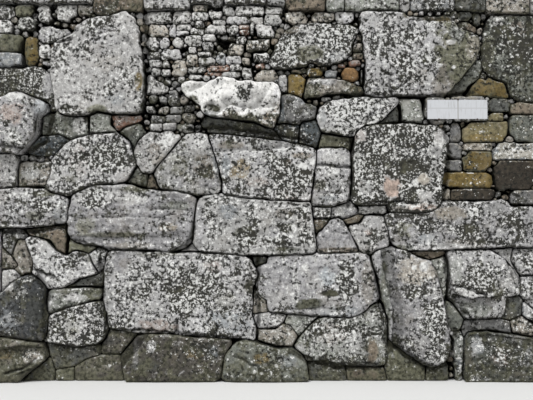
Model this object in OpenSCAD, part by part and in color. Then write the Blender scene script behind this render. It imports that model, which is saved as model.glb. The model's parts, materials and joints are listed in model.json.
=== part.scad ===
// A stretch of massive dry stone wall: large irregular blocks fitted without mortar,
// small stones packed in the gaps between them, and a rubble core behind.
// X runs along the wall, the seen face looks towards -Y and Z is up.
// The origin lies on the floor, at the middle of the foot.

/* [Wall] */
// Length of the stretch
wall_length = 5160; // [4600:20:5800]
// Height from the floor to the top of the levelling course
wall_height = 3350; // [3000:10:3700]
// Thickness at the floor, face to face
base_thickness = 1200; // [1000:10:1500]
// How far each face leans back for each metre of height
batter_per_metre = 35; // [0:5:50]
// Thickness of the rubble core between the two faces
core_thickness = 360; // [240:10:480]

/* [Stones] */
// Width of an open upright joint between two blocks
head_joint = 8; // [4:1:14]
// Width of the gap round a small packing stone
packing_gap = 7; // [4:1:10]
// Width of the rounded edge of a large block
block_arris = 62; // [30:2:80]
// How far the middle of a large block stands out from its edge
block_crown = 34; // [10:2:50]
// Width of the rounded edge of a packing stone
packing_arris = 22; // [10:1:30]
// How far the middle of a packing stone stands out from its edge
packing_crown = 20; // [5:1:30]

/* [Plaque] */
// Width of the bare plate on the face
plaque_width = 500; // [400:10:560]
// Height of the plate
plaque_height = 160; // [120:5:180]
// Thickness of the plate
plaque_thickness = 12; // [8:1:20]
// Radius of the pins that hold the plate
pin_radius = 4; // [3:0.5:6]

/* [Hidden] */

// The outlines below are drawn in centimetres, across and up, on a face of this size
DRAWN_LENGTH = 516;
DRAWN_HEIGHT = 335;
// Millimetres in a drawn centimetre
CM = 10;
// Half the drawn length, where the stretch ends
EDGE = DRAWN_LENGTH / 2;

batter = batter_per_metre / 1000;
core_face = core_thickness / 2;
// Depth of the stones that close each end of the core
end_stone_depth = 300;
core_length = wall_length - 2 * end_stone_depth;
// Height of the core, which the top rubble covers
core_height = wall_height - 150;
// An edge whose normal rises more steeply than this is a bed, which bears without a gap
BED_RISE = 0.72;
// A corner that turns by more than this is rounded off
SHARP_TURN = 24;

GREY = [0.62, 0.61, 0.58];
PALE = [0.72, 0.71, 0.67];
DARK = [0.42, 0.42, 0.38];
MOSSY = [0.44, 0.44, 0.33];
OCHRE = [0.62, 0.53, 0.35];
WHITE = [0.87, 0.86, 0.83];

// Footing
FOOT_BOULDER = [[-258, 0], [-258, 36], [-222, 38], [-200, 35], [-184, 33], [-180, 20], [-196, 8], [-204, 0]];
FOOT_WEDGE = [[-118, 0], [-122, 22], [-106, 40], [-85, 40], [-60, 37], [-40, 36], [-25, 35], [-35, 22], [-38, 0]];
FOOT_ROUND = [[-38, 0], [-35, 22], [-25, 35], [-14, 35], [-8, 33], [8, 28], [21, 28], [28, 24], [34, 16], [36, 0]];
FOOT_RIGHT = [[163, 0], [164, 15], [165, 35], [168, 41], [185, 42], [205, 39], [222, 36], [258, 34], [258, 0]];
FOOT_STONES = [
    [[-204, 0], [-196, 8], [-180, 20], [-176, 9], [-176, 0]],
    [[-176, 0], [-176, 9], [-160, 12], [-160, 0]],
    [[-176, 9], [-180, 20], [-184, 33], [-160, 28], [-138, 31], [-138, 22], [-150, 18], [-160, 12]],
    [[-160, 0], [-160, 12], [-150, 18], [-138, 22], [-122, 22], [-118, 0]],
    [[-138, 22], [-138, 31], [-133, 37], [-132, 43], [-120, 42], [-106, 40], [-122, 22]],
    [[36, 0], [34, 16], [50, 18], [60, 14], [66, 13], [67, 0]],
    [[67, 0], [66, 13], [75, 12], [98, 12], [101, 0]],
    [[101, 0], [98, 12], [101, 18], [101, 35], [118, 22], [133, 12], [132, 0]],
    [[132, 0], [133, 12], [140, 12], [150, 18], [152, 8], [152, 0]],
    [[157, 0], [156, 40], [162, 42], [165, 35], [164, 15], [163, 0]]
];

// First course
LEFT_BOULDER = [
    [-258, 36], [-258, 76], [-236, 72], [-222, 72], [-212, 82], [-205, 87], [-197, 89], [-190, 85],
    [-182, 76], [-184, 65], [-181, 55], [-182, 42], [-184, 33], [-200, 35], [-222, 38]
];
STEPPED_BLOCK = [
    [-199, 121], [-203, 118], [-199, 109], [-195, 98], [-197, 89], [-190, 85], [-182, 76], [-170, 77],
    [-155, 85], [-140, 89], [-146, 98], [-149, 106], [-160, 109], [-168, 104], [-176, 108], [-182, 117]
];
WAIST_SLAB = [
    [-182, 76], [-170, 77], [-150, 78], [-136, 77], [-136, 68], [-150, 65], [-168, 60], [-181, 55], [-184, 65]
];
MOTTLED_BLOCK = [
    [-181, 55], [-168, 60], [-150, 65], [-136, 68], [-133, 55], [-132, 43], [-133, 37], [-138, 31],
    [-160, 28], [-184, 33], [-182, 42]
];
GREAT_BLOCK = [
    [-133, 109], [-105, 109], [-75, 107], [-56, 107], [-25, 105], [-13, 104], [-9, 95], [-6, 88],
    [-10, 80], [-11, 66], [-12, 55], [-8, 43], [-8, 33], [-14, 35], [-25, 35], [-40, 36], [-60, 37],
    [-85, 40], [-106, 40], [-120, 42], [-132, 43], [-133, 55], [-136, 68], [-136, 77], [-135, 95]
];
MIDDLE_BLOCK = [
    [1, 104], [43, 106], [78, 107], [86, 105], [90, 92], [93, 80], [96, 67], [88, 64], [80, 56],
    [70, 53], [45, 54], [18, 56], [1, 57], [0, 68], [-5, 70], [-10, 80], [-6, 88], [-9, 95], [0, 98]
];
NOSED_BLOCK = [
    [21, 28], [27, 37], [33, 43], [45, 54], [70, 53], [80, 56], [88, 64], [96, 67], [101, 50],
    [101, 35], [101, 18], [98, 12], [75, 12], [66, 13], [60, 14], [50, 18], [34, 16], [28, 24]
];
LEANING_BLOCK = [
    [86, 105], [96, 110], [104, 112], [118, 108], [125, 104], [137, 101], [143, 88], [146, 77],
    [148, 65], [150, 50], [153, 30], [150, 18], [140, 12], [133, 12], [118, 22], [101, 35],
    [101, 50], [96, 67], [93, 80], [90, 92]
];
LEDGE_BLOCK = [
    [150, 109], [185, 110], [200, 101], [207, 92], [212, 82], [211, 71], [200, 70], [199, 58],
    [195, 52], [165, 51], [155, 65], [150, 68], [152, 85], [152, 95], [150, 105]
];
// Blocks that the ends of the stretch need whole, left then right
EDGE_BLOCKS = [
    [[-258, 76], [-258, 122], [-222, 127], [-222, 112], [-222, 93], [-222, 72], [-236, 72]],
    [[-258, 160], [-258, 190], [-212, 190], [-209, 182], [-209, 161], [-222, 160]],
    [[207, 111], [222, 111], [258, 112], [258, 90], [232, 88], [212, 87], [204, 100]],
    [[212, 87], [232, 88], [258, 90], [258, 58], [240, 58], [222, 60], [214, 68], [211, 71], [212, 82]],
    [[213, 54], [226, 46], [222, 36], [258, 34], [258, 58], [240, 58], [222, 60], [214, 68]]
];
LOWER_PACKING = [
    [[-222, 72], [-222, 93], [-212, 93], [-205, 87], [-212, 82]],
    [[-222, 93], [-222, 112], [-214, 104], [-208, 96], [-212, 93]],
    [[-214, 104], [-209, 118], [-203, 118], [-199, 109], [-195, 98], [-197, 89], [-205, 87], [-212, 93], [-208, 96]],
    [[-222, 112], [-222, 127], [-205, 127], [-199, 121], [-203, 118], [-209, 118], [-214, 104]],
    [[-199, 121], [-205, 127], [-180, 129], [-167, 131], [-166, 120], [-168, 104], [-176, 108], [-182, 117]],
    [[-168, 104], [-166, 120], [-158, 115], [-140, 112], [-149, 106], [-160, 109]],
    [[-149, 106], [-140, 112], [-133, 109], [-135, 95], [-140, 89], [-146, 98]],
    [[-170, 77], [-155, 85], [-140, 89], [-135, 95], [-136, 77], [-150, 78]],
    [[-13, 104], [1, 104], [0, 98], [-9, 95]],
    [[-10, 80], [-5, 70], [0, 68], [1, 57], [-12, 55], [-11, 66]],
    [[-12, 55], [1, 57], [18, 56], [14, 48], [8, 43], [-8, 43]],
    [[-8, 43], [8, 43], [14, 48], [20, 46], [27, 37], [21, 28], [8, 28], [-8, 33]],
    [[14, 48], [18, 56], [45, 54], [33, 43], [27, 37], [20, 46]],
    [[137, 101], [150, 105], [152, 95], [152, 85], [150, 68], [148, 65], [146, 77], [143, 88]],
    [[118, 108], [150, 109], [150, 105], [137, 101], [125, 104]],
    [[148, 65], [150, 68], [155, 65], [165, 51], [162, 42], [156, 40], [150, 50]],
    [[162, 42], [165, 51], [195, 52], [203, 50], [205, 39], [185, 42], [168, 41], [165, 35]],
    [[205, 39], [203, 50], [213, 54], [226, 46], [222, 36]],
    [[203, 50], [195, 52], [199, 58], [200, 70], [211, 71], [214, 68], [213, 54]],
    [[185, 110], [207, 111], [204, 100], [212, 87], [212, 82], [207, 92], [200, 101]]
];

// Second course
LEFT_BED_BLOCK = [
    [-258, 122], [-258, 160], [-222, 160], [-209, 161], [-193, 161], [-186, 161], [-180, 157],
    [-165, 153], [-164, 150], [-167, 131], [-180, 129], [-205, 127], [-222, 127]
];
BANDED_BLOCK = [
    [-167, 131], [-164, 150], [-165, 153], [-160, 157], [-145, 163], [-130, 164], [-118, 165],
    [-101, 160], [-90, 159], [-75, 158], [-57, 154], [-60, 140], [-62, 114], [-75, 107], [-105, 109],
    [-133, 109], [-140, 112], [-158, 115], [-166, 120]
];
MIDDLE_BED_BLOCK = [
    [-62, 114], [-60, 140], [-57, 154], [-38, 156], [-31, 154], [0, 151], [37, 149], [38, 146],
    [39, 135], [41, 121], [43, 106], [1, 104], [-13, 104], [-25, 105], [-56, 107]
];
POINTED_BLOCK = [[41, 121], [47, 126], [54, 135], [60, 136], [64, 134], [67, 129], [72, 120], [78, 107], [43, 106]];
SHOULDER_BLOCK = [
    [67, 129], [78, 131], [82, 138], [98, 138], [102, 124], [104, 112], [96, 110], [86, 105],
    [78, 107], [72, 120]
];
LONG_RIGHT_BLOCK = [
    [98, 138], [102, 140], [125, 140], [138, 141], [145, 145], [147, 150], [200, 150], [203, 146],
    [222, 145], [258, 146], [258, 112], [222, 111], [207, 111], [185, 110], [150, 109], [118, 108],
    [104, 112], [102, 124]
];
MIDDLE_PACKING = [
    [[-75, 107], [-62, 114], [-56, 107]],
    [[39, 135], [54, 135], [47, 126], [41, 121]],
    [[39, 135], [38, 146], [55, 145], [54, 135]],
    [[54, 135], [55, 145], [70, 150], [76, 146], [77, 139], [70, 136], [64, 134], [60, 136]],
    [[64, 134], [70, 136], [77, 139], [82, 138], [78, 131], [67, 129]],
    [[77, 139], [76, 146], [101, 147], [102, 140], [98, 138], [82, 138]],
    [[-209, 161], [-209, 182], [-180, 183], [-181, 172], [-186, 161], [-193, 161]],
    [[-118, 165], [-108, 180], [-104, 173], [-99, 173], [-101, 160]],
    [[-101, 160], [-99, 173], [-96, 173], [-90, 159]],
    [[-205, 190], [-191, 205], [-175, 206], [-165, 201], [-178, 188]],
    [[-191, 205], [-190, 222], [-183, 225], [-178, 226], [-165, 221], [-150, 222], [-150, 205], [-165, 201], [-175, 206]],
    [[-150, 205], [-150, 222], [-142, 226], [-131, 223], [-131, 214], [-125, 208]],
    [[-125, 208], [-131, 214], [-131, 223], [-104, 223], [-106, 216], [-118, 213]],
    [[-125, 208], [-118, 213], [-106, 216], [-100, 207], [-108, 200], [-112, 190], [-114, 200]],
    [[-50, 207], [-56, 218], [-50, 221], [-30, 219], [-10, 216], [3, 211], [8, 208], [14, 200], [-10, 203]],
    [[14, 200], [8, 208], [8, 215], [15, 216], [28, 214], [27, 198], [20, 199]],
    [[27, 198], [28, 214], [30, 217], [41, 219], [46, 208], [43, 194]],
    [[43, 194], [46, 208], [60, 205], [74, 204], [71, 190], [66, 195]]
];

// Third course
ROUND_BLOCK = [
    [-186, 161], [-181, 172], [-180, 183], [-178, 188], [-165, 201], [-150, 205], [-125, 208],
    [-114, 200], [-112, 190], [-108, 180], [-118, 165], [-130, 164], [-145, 163], [-160, 157],
    [-165, 153], [-180, 157]
];
SLANTED_BLOCK = [
    [-108, 180], [-112, 190], [-108, 200], [-100, 207], [-82, 208], [-70, 204], [-80, 192],
    [-90, 181], [-96, 173], [-99, 173], [-104, 173]
];
NARROW_BLOCK = [
    [-70, 204], [-68, 206], [-50, 207], [-44, 190], [-38, 170], [-37, 164], [-38, 156], [-57, 154],
    [-75, 158], [-90, 159], [-96, 173], [-90, 181], [-80, 192]
];
BROAD_BLOCK = [
    [-50, 207], [-10, 203], [14, 200], [20, 199], [27, 198], [43, 194], [40, 172], [37, 149], [0, 151],
    [-31, 154], [-38, 156], [-37, 164], [-38, 170], [-44, 190]
];
CRACKED_BLOCK = [
    [43, 194], [66, 195], [71, 190], [72, 165], [70, 150], [55, 145], [38, 146], [37, 149], [40, 172]
];
SQUARE_BLOCK = [
    [71, 190], [74, 204], [75, 208], [82, 213], [90, 214], [113, 215], [120, 215], [132, 214], [148, 211],
    [153, 203], [150, 190], [147, 165], [147, 150], [145, 145], [138, 141], [125, 140], [102, 140],
    [101, 147], [76, 146], [70, 150], [72, 165]
];
// Small stones between the square block and the right end, as left, bottom, right and top
RIGHT_PACKING = [
    [147.6, 150.4, 154, 160], [154.6, 150.4, 190, 160], [204, 147, 236, 158.6], [237, 147, 257.6, 158.6],
    [148.6, 161, 190, 174], [151.4, 175, 164, 184.6], [165, 175, 189.6, 191.4],
    [152.6, 185.4, 164, 198.6], [165, 192.4, 190, 198.6], [154.6, 199.6, 163.6, 215.4],
    [164.4, 199.6, 203.4, 216.4], [191, 159.6, 226, 183.6], [227, 159.6, 257.6, 183.6],
    [191, 184.6, 235, 198.6], [236, 184.6, 257.6, 198.6], [204.4, 199.6, 235, 222],
    [236, 199.6, 257.6, 222], [187, 217.4, 200, 224], [187, 225, 205, 235.6], [206, 223, 228, 232],
    [229, 223, 257.6, 231.4]
];
// Flat stones behind the plaque
PLAQUE_STONES = [[132, 214.6, 151.6, 237.6], [152.2, 217.4, 186.4, 237.6]];

// Fourth course
PALE_BOULDER = [
    [-258, 190], [-258, 232], [-222, 236], [-213, 242], [-207, 242], [-195, 237], [-182, 232],
    [-183, 225], [-190, 222], [-191, 205], [-205, 190], [-212, 190]
];
ARCHED_BLOCK = [
    [-258, 232], [-258, 262], [-222, 262], [-205, 262], [-195, 264], [-187, 262], [-180, 250],
    [-178, 226], [-183, 225], [-182, 232], [-195, 237], [-207, 242], [-213, 242], [-222, 236]
];
UPPER_LEFT_SLAB = [
    [-178, 226], [-180, 250], [-181, 270], [-180, 283], [-162, 291], [-159, 298], [-153, 304],
    [-131, 305], [-126, 308], [-115, 309], [-108, 296], [-105, 274], [-102, 255], [-102, 240],
    [-104, 223], [-131, 223], [-142, 226], [-150, 222], [-165, 221]
];
WHITE_BLOCK = [
    [-72, 248], [-60, 251], [-53, 248], [-38, 254], [-22, 250], [10, 249], [12, 240], [11, 222],
    [8, 215], [3, 211], [-10, 216], [-30, 219], [-50, 221], [-58, 232], [-70, 240]
];
GREY_BLOCK = [
    [12, 240], [20, 240], [30, 236], [33, 232], [43, 228], [41, 219], [30, 217], [28, 214], [15, 216],
    [8, 215], [11, 222]
];
LICHEN_BLOCK = [
    [41, 219], [43, 228], [52, 233], [65, 236], [97, 237], [110, 238], [112, 232], [98, 218],
    [90, 214], [82, 213], [75, 208], [74, 204], [60, 205], [46, 208]
];
LOW_BLOCK = [
    [32, 242], [33, 250], [38, 254], [60, 252], [78, 246], [82, 243], [82, 239], [65, 240], [50, 239],
    [45, 237], [36, 237], [30, 236]
];
SPECKLED_BLOCK = [
    [4, 270], [5, 277], [10, 284], [17, 293], [20, 296], [30, 298], [40, 300], [60, 298], [77, 297],
    [77, 290], [73, 284], [71, 276], [69, 270], [60, 266], [45, 265], [38, 267], [25, 261], [12, 262],
    [0, 265]
];
UPPER_RIGHT_BLOCK = [
    [82, 239], [82, 243], [83, 262], [82, 283], [79, 292], [78, 306], [80, 310], [112, 309], [118, 305],
    [157, 305], [160, 297], [178, 290], [180, 280], [176, 268], [165, 254], [151, 238], [131, 238],
    [110, 238], [97, 237]
];
FAR_RIGHT_BLOCK = [
    [186, 304], [190, 307], [222, 306], [258, 306], [258, 232], [222, 233], [206, 237], [203, 250],
    [190, 254], [182, 262], [181, 270], [183, 290]
];
UPPER_PACKING = [
    [[-102, 251], [-100, 256], [-94, 253], [-87, 248], [-82, 245], [-84, 241], [-92, 240], [-102, 240]],
    [[98, 218], [112, 232], [113, 215], [90, 214]],
    [[113, 215], [112, 232], [110, 238], [131, 238], [132, 214], [120, 215]],
    [[18, 240], [18, 256], [25, 257], [31, 254], [33, 250], [32, 242], [30, 236], [20, 240]],
    [[12, 240], [10, 249], [12, 256], [18, 256], [18, 240]],
    [[62, 255], [63, 259], [67, 263], [74, 262], [78, 258], [77, 252], [72, 250], [65, 253]],
    [[-193, 278], [-190, 282], [-184, 282], [-181, 278], [-183, 272], [-189, 271], [-192, 273]],
    [[-203, 264], [-205, 275], [-204, 288], [-194, 289], [-193, 278], [-192, 270], [-195, 264]],
    [[-258, 262], [-258, 276], [-222, 276], [-205, 275], [-203, 264], [-222, 262]],
    [[-258, 276], [-258, 291], [-222, 291], [-204, 288], [-205, 275], [-222, 276]],
    [[-195, 290], [-192, 297], [-175, 297], [-162, 291], [-180, 283], [-190, 284]],
    [[151, 238], [165, 254], [176, 268], [181, 270], [182, 262], [178, 252], [170, 246], [168, 239]],
    [[170, 246], [178, 252], [190, 254], [203, 250], [206, 237], [190, 238], [168, 239]],
    [[160, 297], [163, 301], [172, 301], [178, 296], [178, 290]],
    [[-212, 300], [-209, 304], [-202, 306], [-196, 304], [-194, 299], [-199, 294], [-208, 294]],
    [[-194, 305], [-194, 310], [-188, 316], [-184, 311], [-181, 304], [-182, 300], [-189, 299]],
    [[-180, 312], [-176, 316], [-161, 316], [-160, 306], [-168, 302], [-175, 303]],
    [-257.6, 292, -235, 304], [-234, 292, -214, 303], [-257.6, 305, -236, 316], [-235, 304.4, -213.6, 316],
    [-212.6, 307, -196, 316], [-159.6, 306, -147, 316],
    [-100, 231.6, -92, 239], [-91, 231, -84, 239], [-83, 230, -73, 243], [-102.6, 224, -93, 230.6],
    [-92, 223, -82, 230], [-99, 208.6, -88, 215], [-87, 209.6, -76, 215.6], [-98, 216, -86, 222.4],
    [-84.6, 216.6, -72, 222.4], [-75, 208, -62, 214.6], [-71, 216, -59, 224], [-81, 223.4, -70, 229],
    [-69, 225, -60, 231.6], [45.6, 234, 54, 238], [55.4, 235.6, 63, 239],
    [20, 258, 33, 261.4], [34, 255, 47, 262], [48.6, 254, 60.6, 260], [60, 262.6, 67, 265.4],
    [69, 264.4, 80, 268.4], [72.4, 270, 81, 275], [73.4, 276, 80.6, 283], [75.6, 284.6, 80.4, 291],
    [79.4, 247.4, 81.4, 262], [162, 303, 174, 310], [175, 298, 182, 309]
];

// Rubble between the upper blocks, as left, bottom, right and top
RUBBLE = [
    [-97, 256.4, -90, 262], [-89, 256, -80.6, 261.4], [-100, 263, -88.6, 269], [-87.6, 262.4, -81, 268],
    [-80, 255, -67.4, 268], [-66.4, 252, -54, 257], [-66, 258, -51, 263], [-53, 255.4, -38, 258],
    [-37, 254.8, -22, 259], [-50, 259.4, -31.6, 264], [-30.6, 260, -21.4, 265], [-20.4, 252, -11, 263.4],
    [-10, 250.4, 9, 260], [-10, 261, -1.6, 266], [-101, 270, -90, 275.6], [-89, 270, -71.6, 278],
    [-101, 277, -91, 288], [-90, 279.4, -82, 288], [-79.4, 280, -70.4, 288], [-69.4, 281, -54.6, 290],
    [-53.6, 285, -42, 290.6], [-54, 277, -44, 284], [-66, 275, -59, 280], [-58, 272, -46, 276],
    [-68.4, 264, -58.4, 274], [-57.4, 265, -43.6, 271], [-42, 265, -35, 276], [-34, 266, -21.6, 272],
    [-33.4, 273, -19.6, 281.6], [-20.6, 264.4, -13, 271], [-12, 267, 2, 275.4], [-18, 276.6, 3, 286.6],
    [-26, 283, -16.6, 289], [-33, 290, -24, 298], [-23, 290.4, -14.6, 294.4], [-23, 295.4, -14.6, 299],
    [-13.6, 290, -10.6, 300], [-9.6, 288.6, 7, 298], [-52, 292, -34.4, 298.4], [-46.4, 299.4, -35, 303],
    [-34, 300, -15, 306], [-13, 301, -3, 306], [-2, 299.4, 13, 307], [-63.6, 291, -53, 295.4],
    [-76, 290.4, -65, 293.6], [-76, 294.4, -64, 299.4], [-81.6, 289, -77, 299], [-99, 289.4, -83, 299],
    [-61, 296.4, -53, 302], [-103, 300.4, -80, 310], [-78.6, 300.4, -64, 309], [-63, 303, -50, 309.4],
    [-48, 304, -38, 311], [-36.6, 307, -27, 315], [-26, 307, -2, 315], [-1, 308.4, 14.4, 314.6],
    [16, 300.4, 36, 309], [37.6, 301.4, 57, 309], [58.4, 300, 75.6, 310], [-62, 310.6, -49, 316]
];

// Underside of the levelling course, left to right
LEVELLING_BED = [
    [-258, 317], [-146, 317], [-144, 307], [-131, 307], [-122, 311], [-65, 311], [-62, 317], [15, 316], [17, 311],
    [112, 311], [122, 311], [158, 311], [184, 311], [186, 308], [258, 308]
];
LEVELLING_TOP = [[-258, 333], [-160, 335], [-60, 332], [40, 335], [130, 333], [200, 334], [258, 331]];
LEVELLING_JOINTS = [-258, -214, -180, -146, -104, -64, -36, 0, 16, 50, 66, 112, 121, 159, 185, 222, 258];

// Beds of the unseen face, from the floor up, each as points across and up
BACK_BEDS = [
    [[-258, 0], [258, 0]],
    [[-258, 38], [-120, 33], [-10, 41], [110, 30], [258, 37]],
    [[-258, 104], [-150, 110], [-30, 103], [90, 112], [258, 106]],
    [[-258, 150], [-130, 145], [0, 154], [120, 148], [258, 156]],
    [[-258, 204], [-160, 210], [-20, 202], [100, 209], [258, 202]],
    [[-258, 249], [-110, 243], [10, 250], [140, 242], [258, 247]],
    [[-258, 304], [-150, 310], [20, 303], [130, 310], [258, 306]],
    [[-258, 332], [-90, 334], [60, 331], [258, 334]]
];
// Upright joints of each course of the unseen face
BACK_JOINTS = [
    [-258, -176, -92, -20, 58, 146, 258],
    [-258, -150, -48, 32, 128, 196, 258],
    [-258, -196, -104, -6, 84, 172, 258],
    [-258, -128, -64, 40, 108, 206, 258],
    [-258, -182, -120, -30, 52, 130, 188, 258],
    [-258, -140, -66, 30, 92, 182, 258],
    [-258, -210, -160, -112, -58, -8, 46, 98, 154, 204, 258]
];
// How far each upright joint there leans from its foot to its head
BACK_JOINT_LEAN = 7;

// Heights at which the stones at an end of the core part
END_BEDS = [0, 34, 71, 107, 134, 168, 205, 236, 262, 296, 330];

function total(values) = values * [for (v = values) 1];

function drawn(outline) = [
    for (p = outline) [p[0] * wall_length / DRAWN_LENGTH, p[1] * wall_height / DRAWN_HEIGHT]
];

function signed_area(ring) = total([
    for (i = [0:len(ring) - 1])
        let (p = ring[i], q = ring[(i + 1) % len(ring)])
        (p[0] * q[1] - q[0] * p[1]) / 2
]);

function anticlockwise(ring) = signed_area(ring) > 0 ? ring : [for (i = [len(ring) - 1:-1:0]) ring[i]];

function direction(p, q) = (q - p) / norm(q - p);

// Unit vector into the stone from its edge p to q
function inward(p, q) = let (d = direction(p, q)) [-d[1], d[0]];

// Half the gap at the edge from p to q; the floor and the ends of the stretch have none
function gap_at(p, q, heads, beds) =
    max(abs(p[1]), abs(q[1])) < 1 || min(abs(p[0]), abs(q[0])) > wall_length / 2 - 1 ? 0
    : abs(inward(p, q)[1]) > BED_RISE ? beds : heads;

// Moves each edge into the stone: an upright one by heads, a bed by beds
function fitted(ring, heads, beds) = [
    for (i = [0:len(ring) - 1])
        let (
            n = len(ring),
            p = ring[(i + n - 1) % n],
            q = ring[(i + 1) % n],
            before = inward(p, ring[i]),
            after = inward(ring[i], q),
            gap_before = gap_at(p, ring[i], heads, beds),
            gap_after = gap_at(ring[i], q, heads, beds),
            turn = cross(before, after)
        )
        abs(turn) < 0.2
            ? ring[i] + (before * gap_before + after * gap_after) / 2
            : ring[i] + [
                (gap_before * after[1] - gap_after * before[1]) / turn,
                (gap_after * before[0] - gap_before * after[0]) / turn
            ]
];

// Cuts each sharp outer corner to two points
function rounded(ring, cut) = [
    for (i = [0:len(ring) - 1])
        let (
            n = len(ring),
            p = ring[i],
            before = ring[(i + n - 1) % n],
            after = ring[(i + 1) % n],
            d_in = direction(before, p),
            d_out = direction(p, after),
            sharp = cross(d_in, d_out) > sin(SHARP_TURN)
        )
        each sharp
            ? [p - d_in * min(cut, 0.32 * norm(p - before)), p + d_out * min(cut, 0.32 * norm(after - p))]
            : [p]
];

function low(ring) = [min([for (p = ring) p[0]]), min([for (p = ring) p[1]])];
function high(ring) = [max([for (p = ring) p[0]]), max([for (p = ring) p[1]])];
function middle(ring) = (low(ring) + high(ring)) / 2;

// Draws the ring towards its middle until its farthest points have moved in by the given distance
function drawn_in(ring, distance) =
    let (m = middle(ring), half = (high(ring) - low(ring)) / 2)
    [for (p = ring) [for (k = [0, 1]) m[k] + (p[k] - m[k]) * (1 - min(distance / half[k], 0.6))]];

// A ring of the stone in space, at a depth behind the leaning face of the wall
function on_face(ring, depth, tilt, m) = [
    for (p = ring) [p[0], -base_thickness / 2 + batter * p[1] + depth + tilt * (p - m), p[1]]
];

function on_core(ring) = [for (p = ring) [p[0], -core_face, p[1]]];

// A number from 0 to 1 that depends on the place alone
function chance(place, salt) = let (v = sin(place[0] * 127.1 + place[1] * 311.7 + salt * 74.7) * 437.58) v - floor(v);

// Outline of a small stone from its left, bottom, right and top: two opposite corners are cut
// off, which two differs from stone to stone, and the other two are drawn in a little
function cobbled(box) =
    let (
        side = min(box[2] - box[0], box[3] - box[1]),
        place = [box[0], box[1]],
        cut = [for (k = [0:3]) side * (0.2 + 0.24 * chance(place, k))],
        slack = [for (k = [4:5]) side * 0.12 * chance(place, k)]
    )
    chance(place, 6) < 0.5
        ? [
            [box[0] + cut[0], box[1]], [box[2] - slack[0], box[1]], [box[2], box[3] - cut[1]],
            [box[2] - cut[2], box[3]], [box[0] + slack[1], box[3]], [box[0], box[1] + cut[3]]
        ]
        : [
            [box[0] + slack[0], box[1]], [box[2] - cut[0], box[1]], [box[2], box[1] + cut[1]],
            [box[2] - slack[1], box[3]], [box[0] + cut[2], box[3]], [box[0], box[3] - cut[3]]
        ];

function outline_of(spot) = is_num(spot[0]) ? cobbled(spot) : spot;

// How far the path a, b, c turns to the left at b
function turned(a, b, c) = cross(b - a, c - b);

function is_within(p, a, b, c) = min(turned(a, b, p), turned(b, c, p), turned(c, a, p)) >= 0;

// Whether the corner at place k of the points that are left can be cut off as a triangle
function is_free(ring, left, k) =
    let (n = len(left), i = left[(k + n - 1) % n], j = left[k], m = left[(k + 1) % n])
    turned(ring[i], ring[j], ring[m]) > 0
    && len([
        for (p = left)
            if (p != i && p != j && p != m && is_within(ring[p], ring[i], ring[j], ring[m])) p
    ]) == 0;

// Parts an anticlockwise outline into triangles by cutting off one corner after another,
// each time the one with the shortest cut
function parted(ring, left) =
    len(left) == 3 ? [left]
    : let (
        n = len(left),
        cuts = [
            for (k = [0:n - 1])
                if (is_free(ring, left, k))
                    [norm(ring[left[(k + n - 1) % n]] - ring[left[(k + 1) % n]]), k]
        ],
        shortest = min([for (cut = cuts) cut[0]]),
        k = [for (cut = cuts) if (cut[0] == shortest) cut[1]][0]
    )
    concat(
        [[left[(k + n - 1) % n], left[k], left[(k + 1) % n]]],
        parted(ring, [for (i = [0:n - 1]) if (i != k) left[i]])
    );

function triangles_of(ring) = parted(ring, [for (i = [0:len(ring) - 1]) i]);

// Triangles of an outline that has no hollow side, all from its first point
function fan(n) = [for (i = [1:n - 2]) [0, i, i + 1]];

// Joins rings of equal length, from the back of the stone to its front, into a closed solid.
// The caps are the triangles of a ring, by the places of its points.
module stone_of(rings, caps) {
    n = len(rings[0]);
    last = len(rings) - 1;
    polyhedron(
        points = [for (ring = rings) each ring],
        faces = concat(
            caps,
            [
                for (k = [0:last - 1], i = [0:n - 1])
                    let (a = k * n + i, b = k * n + (i + 1) % n)
                    each [[a, a + n, b + n], [a, b + n, b]]
            ],
            [for (cap = caps) [for (i = [2, 1, 0]) last * n + cap[i]]]
        ),
        convexity = 4
    );
}

// A large fitted block: beds that bear, open upright joints, a rounded edge and a crowned face.
// proud is how far the face stands out from the wall and tilt how it turns, across and up.
module block(outline, proud = 0, tilt = [0, 0], arris = block_arris, crown = block_crown, beds = 0) {
    seat = rounded(fitted(anticlockwise(drawn(outline)), head_joint / 2, beds), 0.62 * arris);
    m = middle(seat);
    out = -proud * CM;
    stone_of(
        [
            on_core(seat),
            on_face(seat, out + crown, tilt, m),
            on_face(drawn_in(seat, 0.28 * arris), out + 0.3 * crown, tilt, m),
            on_face(drawn_in(seat, arris), out, tilt, m)
        ],
        triangles_of(seat)
    );
}

// A squared stone with plain corners and a single bevel round its face
module squared(outline, proud = 0, tilt = [0, 0], arris = 34, crown = 24, beds = 0) {
    seat = fitted(anticlockwise(drawn(outline)), head_joint / 2, beds);
    m = middle(seat);
    out = -proud * CM;
    stone_of(
        [
            on_core(seat),
            on_face(seat, out + crown, tilt, m),
            on_face(drawn_in(seat, arris), out, tilt, m)
        ],
        triangles_of(seat)
    );
}

// A small stone packed in from the face, with a tail that narrows towards the core
module packed(spot, proud = 0) {
    seat = fitted(anticlockwise(drawn(outline_of(spot))), packing_gap / 2, packing_gap / 2);
    m = middle(seat);
    out = (1.6 * chance(m, 5) - proud) * CM;
    tilt = [0.12 * (chance(m, 1) - 0.5), 0.12 * (chance(m, 2) - 0.5)];
    stone_of(
        [
            on_core(drawn_in(seat, 0.5 * packing_arris)),
            on_face(seat, out + packing_crown, tilt, m),
            on_face(drawn_in(seat, packing_arris), out, tilt, m)
        ],
        triangles_of(seat)
    );
}

// The part of a bed between two uprights, with the bed's own points between them
function along(bed, x0, x1) = [
    [x0, lookup(x0, bed)],
    for (p = bed) if (p[0] > x0 + 1 && p[0] < x1 - 1) p,
    [x1, lookup(x1, bed)]
];

function leaned(x, k, lean) = abs(x) > EDGE - 1 ? x : x + lean * (k % 2 == 0 ? 1 : -1);

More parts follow.
